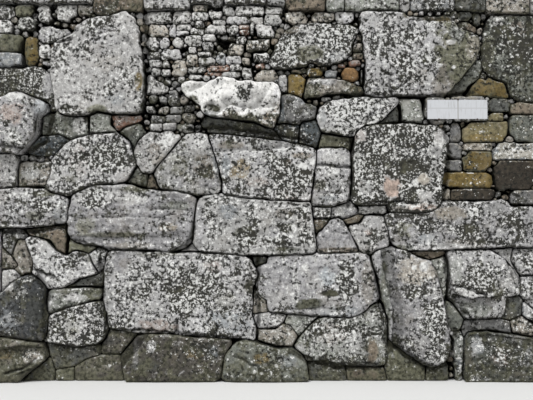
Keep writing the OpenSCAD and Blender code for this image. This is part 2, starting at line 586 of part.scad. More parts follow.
// Outlines of one course between two beds, parted at the given joints
function course_of(bed, top, joints, lean) = [
    for (k = [0:len(joints) - 2])
        let (
            foot = along(bed, joints[k], joints[k + 1]),
            head = along(top, leaned(joints[k], k, lean), leaned(joints[k + 1], k + 1, lean))
        )
        concat(foot, [for (i = [len(head) - 1:-1:0]) head[i]])
];

// One course of the unseen face, turned to look towards +Y
module back_course(k) {
    mirror([0, 1, 0])
        for (outline = course_of(BACK_BEDS[k], BACK_BEDS[k + 1], BACK_JOINTS[k], BACK_JOINT_LEAN))
            squared(
                outline, proud = 3 * chance(outline[0], 3), tilt = [0.03 * (chance(outline[0], 4) - 0.5), 0],
                arris = block_arris, crown = block_crown
            );
}

// Stones stacked at one end of the core; side is -1 at the left and 1 at the right
module end_stack(side) {
    for (k = [0:len(END_BEDS) - 2]) {
        low_z = END_BEDS[k] * wall_height / DRAWN_HEIGHT + (k == 0 ? 0 : packing_gap / 2);
        high_z = END_BEDS[k + 1] * wall_height / DRAWN_HEIGHT - packing_gap / 2;
        reach = 8 + 14 * chance([side, k], 2);
        turn = chance([side, k], 3) < 0.5 ? 1 : -1;
        stone_of(
            [
                for (ring = [[0, 0], [0.8, 0], [1, packing_arris]])
                    let (
                        x = side * (core_length / 2 + ring[0] * (end_stone_depth - reach)),
                        half = core_face - packing_gap / 2 - ring[1],
                        z0 = low_z + (k == 0 ? 0 : ring[1]),
                        z1 = high_z - ring[1],
                        c = 40 + 40 * chance([side, k], 7),
                        outline = [
                            [-half, z0], [half, z0], [half, z1 - c], [half - c, z1],
                            [-half + 0.6 * c, z1], [-half, z1 - 0.6 * c]
                        ]
                    )
                    [for (i = [0:5]) let (p = outline[turn > 0 ? i : 5 - i]) [x, -side * turn * p[0], p[1]]]
            ],
            fan(6)
        );
    }
}

// Packed hearting between the two faces, taken as one mass
module rubble_core() {
    color(DARK)
        translate([-core_length / 2, -core_face, 0])
            cube([core_length, core_thickness, core_height]);
}

// Loose flat stones that cover the core between the two top rows
module top_rubble() {
    rows = 2;
    stones = 16;
    across = core_thickness / rows;
    pitch = core_length / stones;
    color(GREY)
        for (row = [0:rows - 1], k = [0:stones - 1])
            let (
                x0 = -core_length / 2 + k * pitch + 4,
                y0 = -core_face + row * across + 4,
                wide = pitch - 10 - 24 * chance([row, k], 1),
                deep = across - 8,
                tall = 60 + 70 * chance([row, k], 2),
                c = 30 + 30 * chance([row, k], 3)
            )
            translate([x0, y0, core_height])
                stone_of(
                    [
                        for (ring = [[0, 8], [0.55 * tall, 0], [tall, 26]])
                            let (e = ring[1])
                            [
                                for (p = [
                                    [c + e, e], [wide - e, e], [wide - e, deep - c - e],
                                    [wide - c - e, deep - e], [e, deep - e], [e, c + e]
                                ])
                                    [p[0], deep - p[1], ring[0]]
                            ]
                    ],
                    fan(6)
                );
}

module left_end() { color(GREY) end_stack(-1); }
module right_end() { color(GREY) end_stack(1); }

module foot_boulder() { color(MOSSY) block(FOOT_BOULDER, proud = 6); }
module foot_wedge() { color(GREY) block(FOOT_WEDGE, proud = 3); }
module foot_round() { color(MOSSY) block(FOOT_ROUND, proud = 4); }
module foot_right() { color(GREY) block(FOOT_RIGHT, proud = 4); }
module foot_stones() {
    color(DARK)
        for (outline = FOOT_STONES)
            squared(outline, proud = -4, arris = 28, crown = 18, beds = packing_gap / 2);
}

module left_boulder() { color(GREY) block(LEFT_BOULDER, proud = 4); }
module stepped_block() { color(GREY) block(STEPPED_BLOCK, arris = 40); }
module waist_slab() { color(GREY) block(WAIST_SLAB, proud = 1, arris = 36); }
module mottled_block() { color(PALE) block(MOTTLED_BLOCK, proud = 3, arris = 46); }
module great_block() { color(PALE) block(GREAT_BLOCK, proud = 2, tilt = [0.012, 0.01]); }
module middle_block() { color(PALE) block(MIDDLE_BLOCK, proud = 1, arris = 50); }
module nosed_block() { color(GREY) block(NOSED_BLOCK, arris = 46, tilt = [0, 0.05]); }
module leaning_block() { color(GREY) block(LEANING_BLOCK, proud = 5, tilt = [-0.05, 0]); }
module ledge_block() { color(GREY) block(LEDGE_BLOCK, proud = 2, arris = 48); }
module edge_blocks() {
    color(GREY)
        for (outline = EDGE_BLOCKS)
            block(outline, proud = -1, arris = 44, beds = packing_gap / 2);
}
module lower_packing() {
    color(DARK)
        for (spot = LOWER_PACKING)
            packed(spot, proud = -3);
}

module left_bed_block() { color(GREY) block(LEFT_BED_BLOCK, proud = 2, arris = 50); }
module banded_block() { color(PALE) block(BANDED_BLOCK, proud = 3); }
module middle_bed_block() { color(PALE) block(MIDDLE_BED_BLOCK, proud = 2); }
module pointed_block() { color(GREY) block(POINTED_BLOCK, arris = 36); }
module shoulder_block() { color(GREY) block(SHOULDER_BLOCK, proud = 1, arris = 36); }
module long_right_block() { color(GREY) block(LONG_RIGHT_BLOCK, proud = 2); }
module middle_packing() {
    color(DARK)
        for (spot = MIDDLE_PACKING)
            packed(spot, proud = -4);
}

module round_block() { color(PALE) block(ROUND_BLOCK, proud = 3); }
module slanted_block() { color(GREY) block(SLANTED_BLOCK, proud = 1, arris = 36); }
module narrow_block() { color(GREY) block(NARROW_BLOCK, arris = 46); }
module broad_block() { color(PALE) block(BROAD_BLOCK, proud = 2); }
module cracked_block() { color(GREY) block(CRACKED_BLOCK, arris = 44); }
module square_block() { color(PALE) block(SQUARE_BLOCK, proud = 3); }
module right_packing() {
    color(OCHRE) {
        for (spot = RIGHT_PACKING)
            packed(spot, proud = -2);
        for (box = PLAQUE_STONES)
            squared(cobbled(box), arris = 14, crown = 8, beds = packing_gap / 2);
    }
}

module pale_boulder() { color(PALE) block(PALE_BOULDER, proud = 8); }
module arched_block() { color(GREY) block(ARCHED_BLOCK, proud = -3, arris = 46); }
module upper_left_slab() { color(PALE) block(UPPER_LEFT_SLAB, proud = 3); }
module white_block() { color(WHITE) block(WHITE_BLOCK, proud = 7, arris = 50); }
module grey_block() { color(DARK) block(GREY_BLOCK, arris = 30); }
module lichen_block() { color(PALE) block(LICHEN_BLOCK, proud = 2, arris = 40); }
module low_block() { color(GREY) block(LOW_BLOCK, arris = 30); }
module speckled_block() { color(PALE) block(SPECKLED_BLOCK, proud = 1, arris = 50); }
module upper_right_block() { color(PALE) block(UPPER_RIGHT_BLOCK, proud = 3); }
module far_right_block() { color(MOSSY) block(FAR_RIGHT_BLOCK, proud = -2); }
module upper_packing() {
    color(GREY)
        for (spot = UPPER_PACKING)
            packed(spot, proud = -3);
}
module rubble_panel() {
    color(GREY)
        for (spot = RUBBLE)
            packed(spot, proud = -3);
}
module levelling_course() {
    color(GREY)
        for (outline = course_of(LEVELLING_BED, LEVELLING_TOP, LEVELLING_JOINTS, 0))
            squared(outline, beds = packing_gap / 2);
}

// The unseen face lays low and tall courses in turn, each bearing on the one below
module back_low_courses() {
    color(GREY)
        for (k = [0:2:6])
            back_course(k);
}
module back_tall_courses() {
    color(GREY)
        for (k = [1:2:5])
            back_course(k);
}

// Middle of the plate on the face, in drawn centimetres
PLAQUE_MIDDLE = [159.5, 226.5];
// Pins along the plate's edges: how far from its middle, and 1 above or -1 below
PLAQUE_PINS = [[5, 1], [-155, -1], [165, -1]];
PIN_HEAD_RADIUS = 8;
PIN_HEAD_DEPTH = 3;

// Places its children on the leaning face, with Y out of the wall reversed into it
module on_plaque_spot() {
    spot = drawn([PLAQUE_MIDDLE])[0];
    translate([spot[0], -base_thickness / 2 + batter * spot[1], spot[1]])
        rotate([-atan(batter), 0, 0])
            children();
}

module plaque() {
    color([0.84, 0.85, 0.86])
        on_plaque_spot()
            translate([-plaque_width / 2, -plaque_thickness, -plaque_height / 2])
                cube([plaque_width, plaque_thickness, plaque_height]);
}

module plaque_pins() {
    color([0.55, 0.5, 0.45])
        on_plaque_spot()
            for (pin = PLAQUE_PINS)
                translate([pin[0], 0, pin[1] * (plaque_height / 2 + pin_radius)])
                    rotate([90, 0, 0]) {
                        cylinder(r = pin_radius, h = plaque_thickness + PIN_HEAD_DEPTH, $fn = 24);
                        translate([0, 0, plaque_thickness])
                            cylinder(r = PIN_HEAD_RADIUS, h = PIN_HEAD_DEPTH, $fn = 24);
                    }
}

rubble_core();
top_rubble();
left_end();
right_end();
foot_boulder();
foot_wedge();
foot_round();
foot_right();
foot_stones();
left_boulder();
stepped_block();
waist_slab();
mottled_block();
great_block();
middle_block();
nosed_block();
leaning_block();
ledge_block();
edge_blocks();
lower_packing();
left_bed_block();
banded_block();
middle_bed_block();
pointed_block();
shoulder_block();
long_right_block();
middle_packing();
round_block();
slanted_block();
narrow_block();
broad_block();
cracked_block();
square_block();
right_packing();
pale_boulder();
arched_block();
upper_left_slab();
white_block();
grey_block();
lichen_block();
low_block();
speckled_block();
upper_right_block();
far_right_block();
upper_packing();
rubble_panel();
levelling_course();
back_low_courses();
back_tall_courses();
plaque();
plaque_pins();
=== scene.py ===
"""Looks of a stretch of massive dry stone wall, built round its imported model.

Each stone of the model gives its outline and the plane of its face. Over them a weathered
surface is worked out: a grid that fills the outline, a worn rim, a rough face with its cracks,
ledges and hollows, and sides that run back into the wall. Lengths are metres. The wall's own
places, such as a crack's points, are centimetres across from its middle and up from the floor.
How much of a cover a stone has, and how light it is, are given in per cent.
"""

import json
import logging
import math
from dataclasses import dataclass, field
from enum import Enum

import bmesh
import bpy
import numpy as np
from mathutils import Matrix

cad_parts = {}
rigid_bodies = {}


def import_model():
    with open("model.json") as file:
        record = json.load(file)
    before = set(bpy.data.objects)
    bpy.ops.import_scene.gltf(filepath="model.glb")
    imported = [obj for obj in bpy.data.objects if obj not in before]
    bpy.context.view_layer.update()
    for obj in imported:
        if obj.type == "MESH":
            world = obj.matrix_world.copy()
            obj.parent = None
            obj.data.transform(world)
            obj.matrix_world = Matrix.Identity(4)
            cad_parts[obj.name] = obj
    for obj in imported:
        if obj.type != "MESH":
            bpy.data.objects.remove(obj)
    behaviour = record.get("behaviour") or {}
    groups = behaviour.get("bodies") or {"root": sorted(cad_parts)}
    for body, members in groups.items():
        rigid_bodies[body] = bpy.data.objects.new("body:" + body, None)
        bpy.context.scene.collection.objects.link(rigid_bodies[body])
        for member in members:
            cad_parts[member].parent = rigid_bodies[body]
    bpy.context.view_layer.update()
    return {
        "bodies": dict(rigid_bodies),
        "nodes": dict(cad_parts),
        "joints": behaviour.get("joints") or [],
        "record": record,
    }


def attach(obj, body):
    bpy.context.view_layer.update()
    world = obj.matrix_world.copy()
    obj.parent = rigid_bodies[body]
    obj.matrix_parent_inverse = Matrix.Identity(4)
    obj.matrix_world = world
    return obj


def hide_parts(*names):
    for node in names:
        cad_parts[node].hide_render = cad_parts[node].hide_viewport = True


LOG = logging.getLogger("wall")
CM = 0.01
PER_CENT = 100
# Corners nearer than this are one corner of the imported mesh
WELD = 1e-5
# Corners within this depth of a stone's end lie on it
FLAT = 1e-4
# Corners that stand out at least this share of the most are a stone's face
PROUD = 0.95
# A side of a grid has at least one in this many of its ring's points
SHORTEST_SIDE = 11
# Rounds in which the corners of a grid are pushed apart
PARTING_ROUNDS = 30
# Rounds in which a grid settles between its sides, and how far each takes it
SETTLING_ROUNDS = 60
SETTLING_SHARE = 0.9
# Points whose nearest border points are looked for at once
SLICE = 400
# A stone's middle may be this far from the place at which its look is given
NEAR = 0.06
# Stones smaller than this have a finer grid and plainer sides
SMALL_STONE = 0.12

Array = np.ndarray
Socket = bpy.types.NodeSocket
Value = float | tuple | Socket
Inputs = dict[int | str, Value]


class Tone(Enum):
    """Colours of bare stone, as linear red, green and blue."""

    PALE = (0.43, 0.422, 0.412)
    GREY = (0.30, 0.298, 0.292)
    COOL = (0.28, 0.295, 0.305)
    BLUE = (0.17, 0.195, 0.21)
    LILAC = (0.365, 0.36, 0.366)
    WARM = (0.36, 0.33, 0.285)
    BROWN = (0.18, 0.15, 0.115)
    DARK = (0.095, 0.098, 0.09)
    OLIVE = (0.165, 0.165, 0.12)
    GREEN = (0.25, 0.262, 0.23)
    OCHRE = (0.235, 0.17, 0.06)
    SAND = (0.29, 0.25, 0.14)
    ORANGE = (0.28, 0.165, 0.075)
    RED = (0.30, 0.18, 0.135)
    PINK = (0.52, 0.41, 0.35)
    WHITE = (0.80, 0.79, 0.765)


# The tones' short names in the tables of blocks, in the order above
PALE, GREY, COOL, BLUE, LILAC, WARM, BROWN, DARK, OLIVE, GREEN, OCHRE, SAND, ORANGE, RED, PINK, WHITE = Tone


class Facing(Enum):
    """Which way a stone's face looks: its rightward, upward and outward directions."""

    FRONT = ((1, 0, 0), (0, 0, 1), (0, -1, 0))
    BACK = ((-1, 0, 0), (0, 0, 1), (0, 1, 0))
    LEFT = ((0, -1, 0), (0, 0, 1), (-1, 0, 0))
    RIGHT = ((0, 1, 0), (0, 0, 1), (1, 0, 0))
    TOP = ((1, 0, 0), (0, 1, 0), (0, 0, 1))

    @property
    def basis(self) -> Array:
        """The three directions as the rows of a matrix."""
        return np.array(self.value, float)


def eased(t: Array) -> Array:
    """Smooth step: 3t^2 - 2t^3 between 0 and 1, flat beyond them."""
    t = np.clip(t, 0, 1)
    return t * t * (3 - 2 * t)


class LatticeNoise:
    """Smooth seeded noise: random slopes on a cubic lattice, blended between its corners."""

    SIZE = 256
    # Brings the values to about -1 to 1
    STRETCH = 1.6
    # How far each octave is moved away from the last
    APART = 17.3

    def __init__(self, seed: int) -> None:
        """Draws the slopes and the order in which lattice corners take them.

        Args:
            seed: starts the draws, so that the noise is the same in each run.
        """
        rng = np.random.default_rng(seed)
        self.order = rng.permutation(self.SIZE)
        slopes = rng.normal(size=(self.SIZE, 3))
        self.slopes = slopes / np.linalg.norm(slopes, axis=1, keepdims=True)

    def at(self, points: Array, wavelength: float) -> Array:
        """One octave: each of the eight corners round a point gives slope . offset, blended by a quintic.

        Args:
            points: places, one row each.
            wavelength: edge of the lattice's cubes.

        Returns:
            One value for each point, from about -1 to 1.
        """
        scaled = points / wavelength
        cell = np.floor(scaled).astype(np.int64)
        offset = scaled - cell
        blend = offset**3 * (offset * (offset * 6 - 15) + 10)
        total = np.zeros(len(points))
        for corner in np.ndindex(2, 2, 2):
            place = (cell + corner) % self.SIZE
            key = self.order[(self.order[place[:, 0]] + place[:, 1]) % self.SIZE]
            key = self.order[(key + place[:, 2]) % self.SIZE]
            weight = np.prod(np.where(np.array(corner) == 1, blend, 1 - blend), axis=1)
            total += weight * np.einsum("ij,ij->i", self.slopes[key], offset - corner)
        return self.STRETCH * total

    def fractal(self, points: Array, wavelength: float, octaves: int, gain: float = 0.5) -> Array:
        """Sums octaves, each with half the wavelength of the last and gain times its weight.

        Args:
            points: places, one row each.
            wavelength: that of the first octave.
            octaves: how many are summed.
            gain: weight of each octave against the one before it.

        Returns:
            One value for each point, from about -1 to 1.
        """
        total = np.zeros(len(points))
        weight, whole = 1.0, 0.0
        for k in range(octaves):
            total += weight * self.at(points + self.APART * k, wavelength / 2**k)
            whole += weight
            weight *= gain
        return total / whole


NOISE = LatticeNoise(7)


def lifted(points: Array, level: float) -> Array:
    """Places of a face with a third coordinate, so that each use of the noise has its own slice."""
    return np.c_[points, np.full(len(points), level)]


def distance_to_path(points: Array, path: Array) -> tuple[Array, Array]:
    """Distance of each point to a path of straight lines, and the side that it lies on.

    Args:
        points: places in the face, one row each.
        path: the path's corners in order.

    Returns:
        The distances, and 1 where the point lies left of the nearest line and -1 right of it.
    """
    best = np.full(len(points), np.inf)
    side = np.ones(len(points))
    for a, b in zip(path[:-1], path[1:]):
        line = b - a
        share = np.clip((points - a) @ line / (line @ line), 0, 1)
        apart = points - (a + share[:, None] * line)
        distance = np.linalg.norm(apart, axis=1)
        nearer = distance < best
        best = np.where(nearer, distance, best)
        side = np.where(nearer, np.sign(line[0] * apart[:, 1] - line[1] * apart[:, 0]), side)
    return best, side


@dataclass(frozen=True)
class Crack:
    """A crack along a path in the wall's centimetres."""

    path: tuple
    width: float
    depth: float

    def cut(self, points: Array) -> Array:
        """How far the crack cuts in: a groove whose sides fall off as a bell curve.

        Args:
            points: places on the face.

        Returns:
            The depth at each point.
        """
        wander = 0.012 * NOISE.at(lifted(points, 3.1), 0.06)
        distance, _ = distance_to_path(points + wander[:, None], np.array(self.path) * CM)
        return 1.5 * self.depth * CM * np.exp(-((distance / (self.width * CM)) ** 2))


# Joints of the seen face that are washed out, so that deep shadow lies in them
WASHED_OUT = (
    Crack(((-230, 124), (-196, 125), (-167, 129)), 1.8, 2.4),
    Crack(((-190, 86), (-182, 72), (-184, 55), (-183, 38)), 2.6, 2.6),
    Crack(((-139, 100), (-136, 80), (-136, 60), (-133, 42)), 1.8, 2.4),
    Crack(((-178, 31), (-155, 28), (-138, 32), (-131, 43), (-95, 42), (-60, 39), (-20, 35)), 1.3, 2.4),
    Crack(((-60, 132), (-62, 120), (-67, 112), (-78, 108)), 1.8, 2.4),
    Crack(((-166, 118), (-140, 112), (-118, 109), (-94, 108)), 1.2, 2.0),
    Crack(((-8, 104), (-6, 90), (-9, 74), (-6, 56), (-8, 38)), 1.6, 2.4),
    Crack(((64, 239), (100, 238), (140, 238), (170, 240)), 1.7, 2.4),
    Crack(((71, 206), (72, 180), (71, 160), (69, 146)), 1.5, 2.2),
    Crack(((149, 210), (153, 190), (151, 165), (148, 150)), 1.7, 2.4),
    Crack(((85, 108), (92, 80), (97, 50), (104, 24)), 1.5, 2.2),
    Crack(((-103, 310), (-100, 280), (-101, 250), (-104, 224)), 1.8, 2.4),
    Crack(((-66, 210), (-40, 212), (0, 207), (36, 200)), 1.6, 2.4),
    Crack(((150, 104), (152, 80), (160, 62), (172, 50)), 1.8, 2.4),
    Crack(((20, 26), (35, 17), (60, 12), (94, 12)), 2.4, 2.6),
    Crack(((98, 34), (118, 22), (136, 11), (150, 14), (158, 40)), 2.4, 2.6),
    Crack(((-222, 196), (-200, 192), (-186, 200), (-180, 225)), 2.0, 2.4),
)


@dataclass(frozen=True)
class Ledge:
    """A broken step along a path: the stone to the right of its direction lies deeper."""

    path: tuple
    drop: float
    reach: float

    def cut(self, points: Array) -> Array:
        """How far the step cuts in: at once beside the path, then fading over its reach.

        Args:
            points: places on the face.

        Returns:
            The depth at each point.
        """
        wander = 0.01 * NOISE.at(lifted(points, 9.7), 0.07)
        distance, side = distance_to_path(points + wander[:, None], np.array(self.path) * CM)
        below = eased(0.5 - side * distance / (1.4 * CM))
        return self.drop * CM * below * np.exp(-((distance / (self.reach * CM)) ** 2))


@dataclass(frozen=True)
class Hollow:
    """A shallow bowl, or with a negative depth a swelling."""

    x: float
    z: float
    across: float
    up: float
    depth: float

    def cut(self, points: Array) -> Array:
        """How far the bowl cuts in: its depth times an ease of the distance from its middle.

        Args:
            points: places on the face.

        Returns:
            The depth at each point.
        """
        apart = (points / CM - [self.x, self.z]) / [self.across, self.up]
        wander = 0.25 * NOISE.at(lifted(points, 5.2), 0.05)
        return self.depth * CM * eased(1.35 - np.linalg.norm(apart, axis=1) - wander)


@dataclass(frozen=True)
class Patch:
    """A stained or overgrown part of a face, with a ragged edge.

    x, z: its middle; across, up: half its width and height; tone: its colour; white, dark, moss: its
    covers; strength: how much of it shows. A cover that is None keeps what the stone has; a tone
    that is None keeps its colour.
    """

    x: float
    z: float
    across: float
    up: float
    tone: Tone | None = None
    white: float | None = None
    dark: float | None = None
    moss: float | None = None
    strength: float = 100
    shade: float = 100

    def share(self, points: Array) -> Array:
        """How much of the patch shows: 1 inside, 0 outside, with a noisy edge.

        Args:
            points: places on the face.

        Returns:
            The share at each point.
        """
        apart = (points / CM - [self.x, self.z]) / [self.across, self.up]
        ragged = min(1.1, 0.12 * min(self.across, self.up))
        noise = NOISE.fractal(lifted(points, 2.4), 0.08, 4, 0.7)
        border = 1.15 - np.linalg.norm(apart, axis=1) + ragged * noise
        return self.strength / PER_CENT * eased(2.2 * border)


@dataclass(frozen=True)
class Look:
    """A stone's own colour, and how much of it is white lichen, dark crust and moss."""

    tone: Tone
    white: float
    dark: float
    moss: float
    shade: float = 100

    @property
    def colour(self) -> Array:
        """The bare stone's colour."""
        return np.array(self.tone.value) * (self.shade / PER_CENT)

    @property
    def covers(self) -> Array:
        """Shares of white lichen, dark crust and moss."""
        return np.array([self.white, self.dark, self.moss]) / PER_CENT


WHITENED = Look(WHITE, 80, 15, 0, 90)
LICHENED = Look(PALE, 85, 40, 0)
CLEAN = Look(PALE, 35, 20, 0)
MAUVE = Look(LILAC, 55, 30, 0, 105)
DULL = Look(GREY, 10, 20, 10, 55)
BLUISH = Look(COOL, 40, 20, 5, 110)
SPECKLED = Look(COOL, 60, 40, 5, 75)
SLATY = Look(BLUE, 15, 40, 20, 55)
GREENISH = Look(GREEN, 45, 25, 10, 110)
DAMP = Look(GREEN, 20, 30, 30, 60)
MOSSY = Look(OLIVE, 10, 25, 40)
TAWNY = Look(WARM, 35, 35, 20, 80)
SOILED = Look(BROWN, 10, 30, 30, 110)
# Painted shade: stones deep in recesses, made nearly black
SHADE_IN_RECESS = Look(BROWN, 0, 30, 0, 23)
SHADED = Look(DARK, 5, 30, 30, 110)
IRON_STAINED = Look(OCHRE, 0, 8, 10, 72)
RUSTY = Look(OCHRE, 5, 30, 40, 60)
REDDISH = Look(RED, 35, 20, 0, 95)


@dataclass(frozen=True)
class Wear:
    """How a stone has weathered, in metres.

    wobble: how far its outline wanders inwards; skew: how far single corners are drawn in, as a
    share of the way to its middle; corner: rounding of its corners; arris: width of
    its worn rim; swell: broad rise and fall of its face; facets: leaning planes that make up the
    face; grit: small roughness; bedding: thin layers along it; chips: broken places of its rim.
    """

    wobble: float = 0.014
    skew: float = 0.0
    corner: float = 0.006
    arris: float = 0.020
    swell: float = 0.020
    facets: int = 5
    grit: float = 0.007
    bedding: float = 0.0
    chips: int = 9


PACKED = Wear(wobble=0.009, skew=0.09, corner=0.004, arris=0.012, swell=0.012, facets=4, chips=6)
SMALL = Wear(wobble=0.009, skew=0.2, corner=0.002, arris=0.006, swell=0.010, facets=4, grit=0.005, chips=5)
ROUNDED = Wear(corner=0.05, arris=0.055, swell=0.014, chips=4)


@dataclass(frozen=True)
class Block:
    """One stone, or a node of like stones, with its looks, its wear and the marks on its face.

    spots gives the looks of single stones by the places of their middles. A stone that isn't
    among them takes the look or one of the others by chance.
    """

    node: str
    look: Look
    wear: Wear = Wear()
    marks: tuple = ()
    patches: tuple[Patch, ...] = ()
    spots: dict[Look, tuple] = field(default_factory=dict)
    others: tuple[Look, ...] = ()


@dataclass
class Stone:
    """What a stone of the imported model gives: its outline and the planes of its rim and face.

    The values are in the stone's own directions: right, up and out.
    """

    outline: Array
    rim_plane: Array
    face_plane: Array
    tail: float

    @property
    def middle(self) -> Array:
        """Middle of the box round its outline."""
        return (self.outline.max(axis=0) + self.outline.min(axis=0)) / 2

    @property
    def size(self) -> float:
        """The smaller of its width and height."""
        return float(np.ptp(self.outline, axis=0).min())

    @property
    def salt(self) -> float:
        """A number of its own, which sets its noise apart from that of other stones."""
        return float(7.7 * self.middle[0] + 3.1 * self.middle[1] + 1.3 * self.size)

    @property
    def chance(self) -> np.random.Generator:
        """A generator that gives this stone the same numbers in each run."""
        return np.random.default_rng(int(abs(self.salt) * 1000))

    def rim(self, points: Array) -> Array:
        """Height of the rim's plane at each point."""
        return self.rim_plane[0] + points @ self.rim_plane[1:]

    def face(self, points: Array) -> Array:
        """Height of the face's plane at each point."""
        return self.face_plane[0] + points @ self.face_plane[1:]

    def meets(self, low: Array, high: Array) -> bool:
        """Whether its outline's box reaches into the box between two places."""
        return bool((self.outline.max(axis=0) > low).all() and (self.outline.min(axis=0) < high).all())

    def distance(self, places: tuple) -> float:
        """How far its middle is from the nearest of some places, given in centimetres."""
        return float(np.linalg.norm(self.middle - np.array(places) * CM, axis=1).min())


def plane_through(corners: Array) -> Array:
    """Least-squares plane height = a + b right + c up through corners given as right, up, out."""
    rows = np.c_[np.ones(len(corners)), corners[:, :2]]
    return np.linalg.lstsq(rows, corners[:, 2], rcond=None)[0]


def welded(mesh: bpy.types.Mesh) -> tuple[Array, Array]:
    """Merges the doubled corners of a copy of a mesh.

    Args:
        mesh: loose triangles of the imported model.

    Returns:
        The corners, and the triangles by their corners' numbers.
    """
    copy = bmesh.new()
    copy.from_mesh(mesh)
    bmesh.ops.remove_doubles(copy, verts=copy.verts, dist=WELD)
    bmesh.ops.triangulate(copy, faces=copy.faces)
    copy.verts.index_update()
    corners = np.array([v.co for v in copy.verts])
    triangles = np.array([[v.index for v in f.verts] for f in copy.faces])
    copy.free()
    return corners, triangles


def loose_parts(count: int, triangles: Array) -> Array:
    """Tells a mesh's loose parts apart: the lowest corner number spreads through each of them.

    Args:
        count: how many corners there are.
        triangles: numbers of their corners.

    Returns:
        The number of each corner's part.
    """
    part = np.arange(count)
    while True:
        lower = part.copy()
        np.minimum.at(lower, triangles, part[triangles].min(axis=1)[:, None])
        lower = lower[lower]
        if (lower == part).all():
            return part
        part = lower


def ring_in_order(pairs: Array) -> list[int]:
    """Walks a closed ring of edges.

    Args:
        pairs: the edges in any order, each by the numbers of its two corners.

    Returns:
        The corners' numbers in the ring's order.
    """
    beside: dict[int, list[int]] = {}
    for a, b in pairs.tolist():
        beside.setdefault(a, []).append(b)
        beside.setdefault(b, []).append(a)
    ring = [int(pairs[0, 0])]
    before = -1
    while len(ring) <= len(beside):
        ahead = [c for c in beside[ring[-1]] if c != before]
        before = ring[-1]
        if ahead[0] == ring[0]:
            break
        ring.append(ahead[0])
    return ring


def stones_of(node: bpy.types.Object, facing: Facing) -> list[Stone]:
    """Reads the stones of a node: in each, the ring of corners next to its tail is its outline.

    Args:
        node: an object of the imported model.
        facing: which way its stones look.

    Returns:
        The stones, from the lowest and leftmost on.
    """
    corners, triangles = welded(node.data)
    local = corners @ facing.basis.T
    part = loose_parts(len(local), triangles)
    stones = []
    for number in np.unique(part):
        mine = triangles[part[triangles[:, 0]] == number]
        pairs = np.vstack([mine[:, [0, 1]], mine[:, [1, 2]], mine[:, [2, 0]]])
        edges = np.unique(np.sort(pairs, axis=1), axis=0)
        used = np.unique(mine)
        tail = local[used, 2].min()
        in_tail = local[:, 2] < tail + FLAT
        crossing = edges[in_tail[edges[:, 0]] != in_tail[edges[:, 1]]]
        girdle = np.unique(crossing[~in_tail[crossing]])
        ring = ring_in_order(edges[np.isin(edges, girdle).all(axis=1)])
        outline = local[ring][:, :2]
        turned = np.roll(outline, -1, axis=0)
        if (outline[:, 0] * turned[:, 1] - turned[:, 0] * outline[:, 1]).sum() < 0:
            outline = outline[::-1]
        rim_plane = plane_through(local[girdle])
        stone = Stone(outline, rim_plane, rim_plane, tail)
        proud = local[used, 2] - stone.rim(local[used][:, :2])
        stone.face_plane = plane_through(local[used[proud > PROUD * proud.max()]])
        stones.append(stone)
    return sorted(stones, key=lambda s: (round(s.outline[:, 1].min(), 2), s.outline[:, 0].min()))


def edge_lengths(ring: Array) -> Array:
    """Lengths of a closed ring's edges."""
    return np.linalg.norm(np.roll(ring, -1, axis=0) - ring, axis=1)


def corners_cut(ring: Array, cut: float) -> Array:
    """Cuts each corner of a ring: a point on each side takes its place.

    Args:
        ring: the corners in order.
        cut: how far the points are from the corner, or 0.3 of the edge if that is less.

    Returns:
        The points in order.
    """
    ahead = np.roll(ring, -1, axis=0) - ring
    length = np.linalg.norm(ahead, axis=1, keepdims=True)
    step = ahead / length * np.minimum(cut, 0.3 * length)
    points = np.stack([ring + step, np.roll(ring, -1, axis=0) - step], axis=1)
    return points.reshape(-1, 2)


def along_ring(ring: Array, places: Array) -> Array:
    """Finds points on a closed ring.

    Args:
        ring: the ring's points in order.
        places: distances along it.

    Returns:
        The point at each distance.
    """
    closed = np.vstack([ring, ring[:1]])
    passed = np.r_[0, np.cumsum(edge_lengths(ring))]
    places = np.mod(places, passed[-1])
    return np.stack([np.interp(places, passed, closed[:, k]) for k in range(2)], axis=1)


def inward_of(ring: Array, reach: int) -> Array:
    """Inward directions along an anticlockwise ring: its run over a few points, turned left."""
    run = np.roll(ring, -reach, axis=0) - np.roll(ring, reach, axis=0)
    return np.c_[-run[:, 1], run[:, 0]] / (np.linalg.norm(run, axis=1, keepdims=True) + 1e-9)


def four_corners(ring: Array) -> Array:
    """Finds the four points of a ring that lie farthest towards its box's corners, kept apart.

    Args:
        ring: its points in order, anticlockwise.

    Returns:
        Their places in the ring, from the lower left one on.
    """
    middle = (ring.max(axis=0) + ring.min(axis=0)) / 2
    half = (ring.max(axis=0) - ring.min(axis=0)) / 2
    towards = (ring - middle) / half @ np.array([[-1, -1], [1, -1], [1, 1], [-1, 1]]).T
    count = len(ring)
    places = towards.argmax(axis=0).astype(float)
    least = count / SHORTEST_SIDE
    for _ in range(PARTING_ROUNDS):
        gap = np.mod(np.roll(places, -1) - places, count)
        gap = np.where(gap > 0.9 * count, gap - count, gap)
        short = np.clip(least - gap, 0, None) / 2
        places = places - short + np.roll(short, 1)
    return np.mod(np.round(places), count).astype(int)


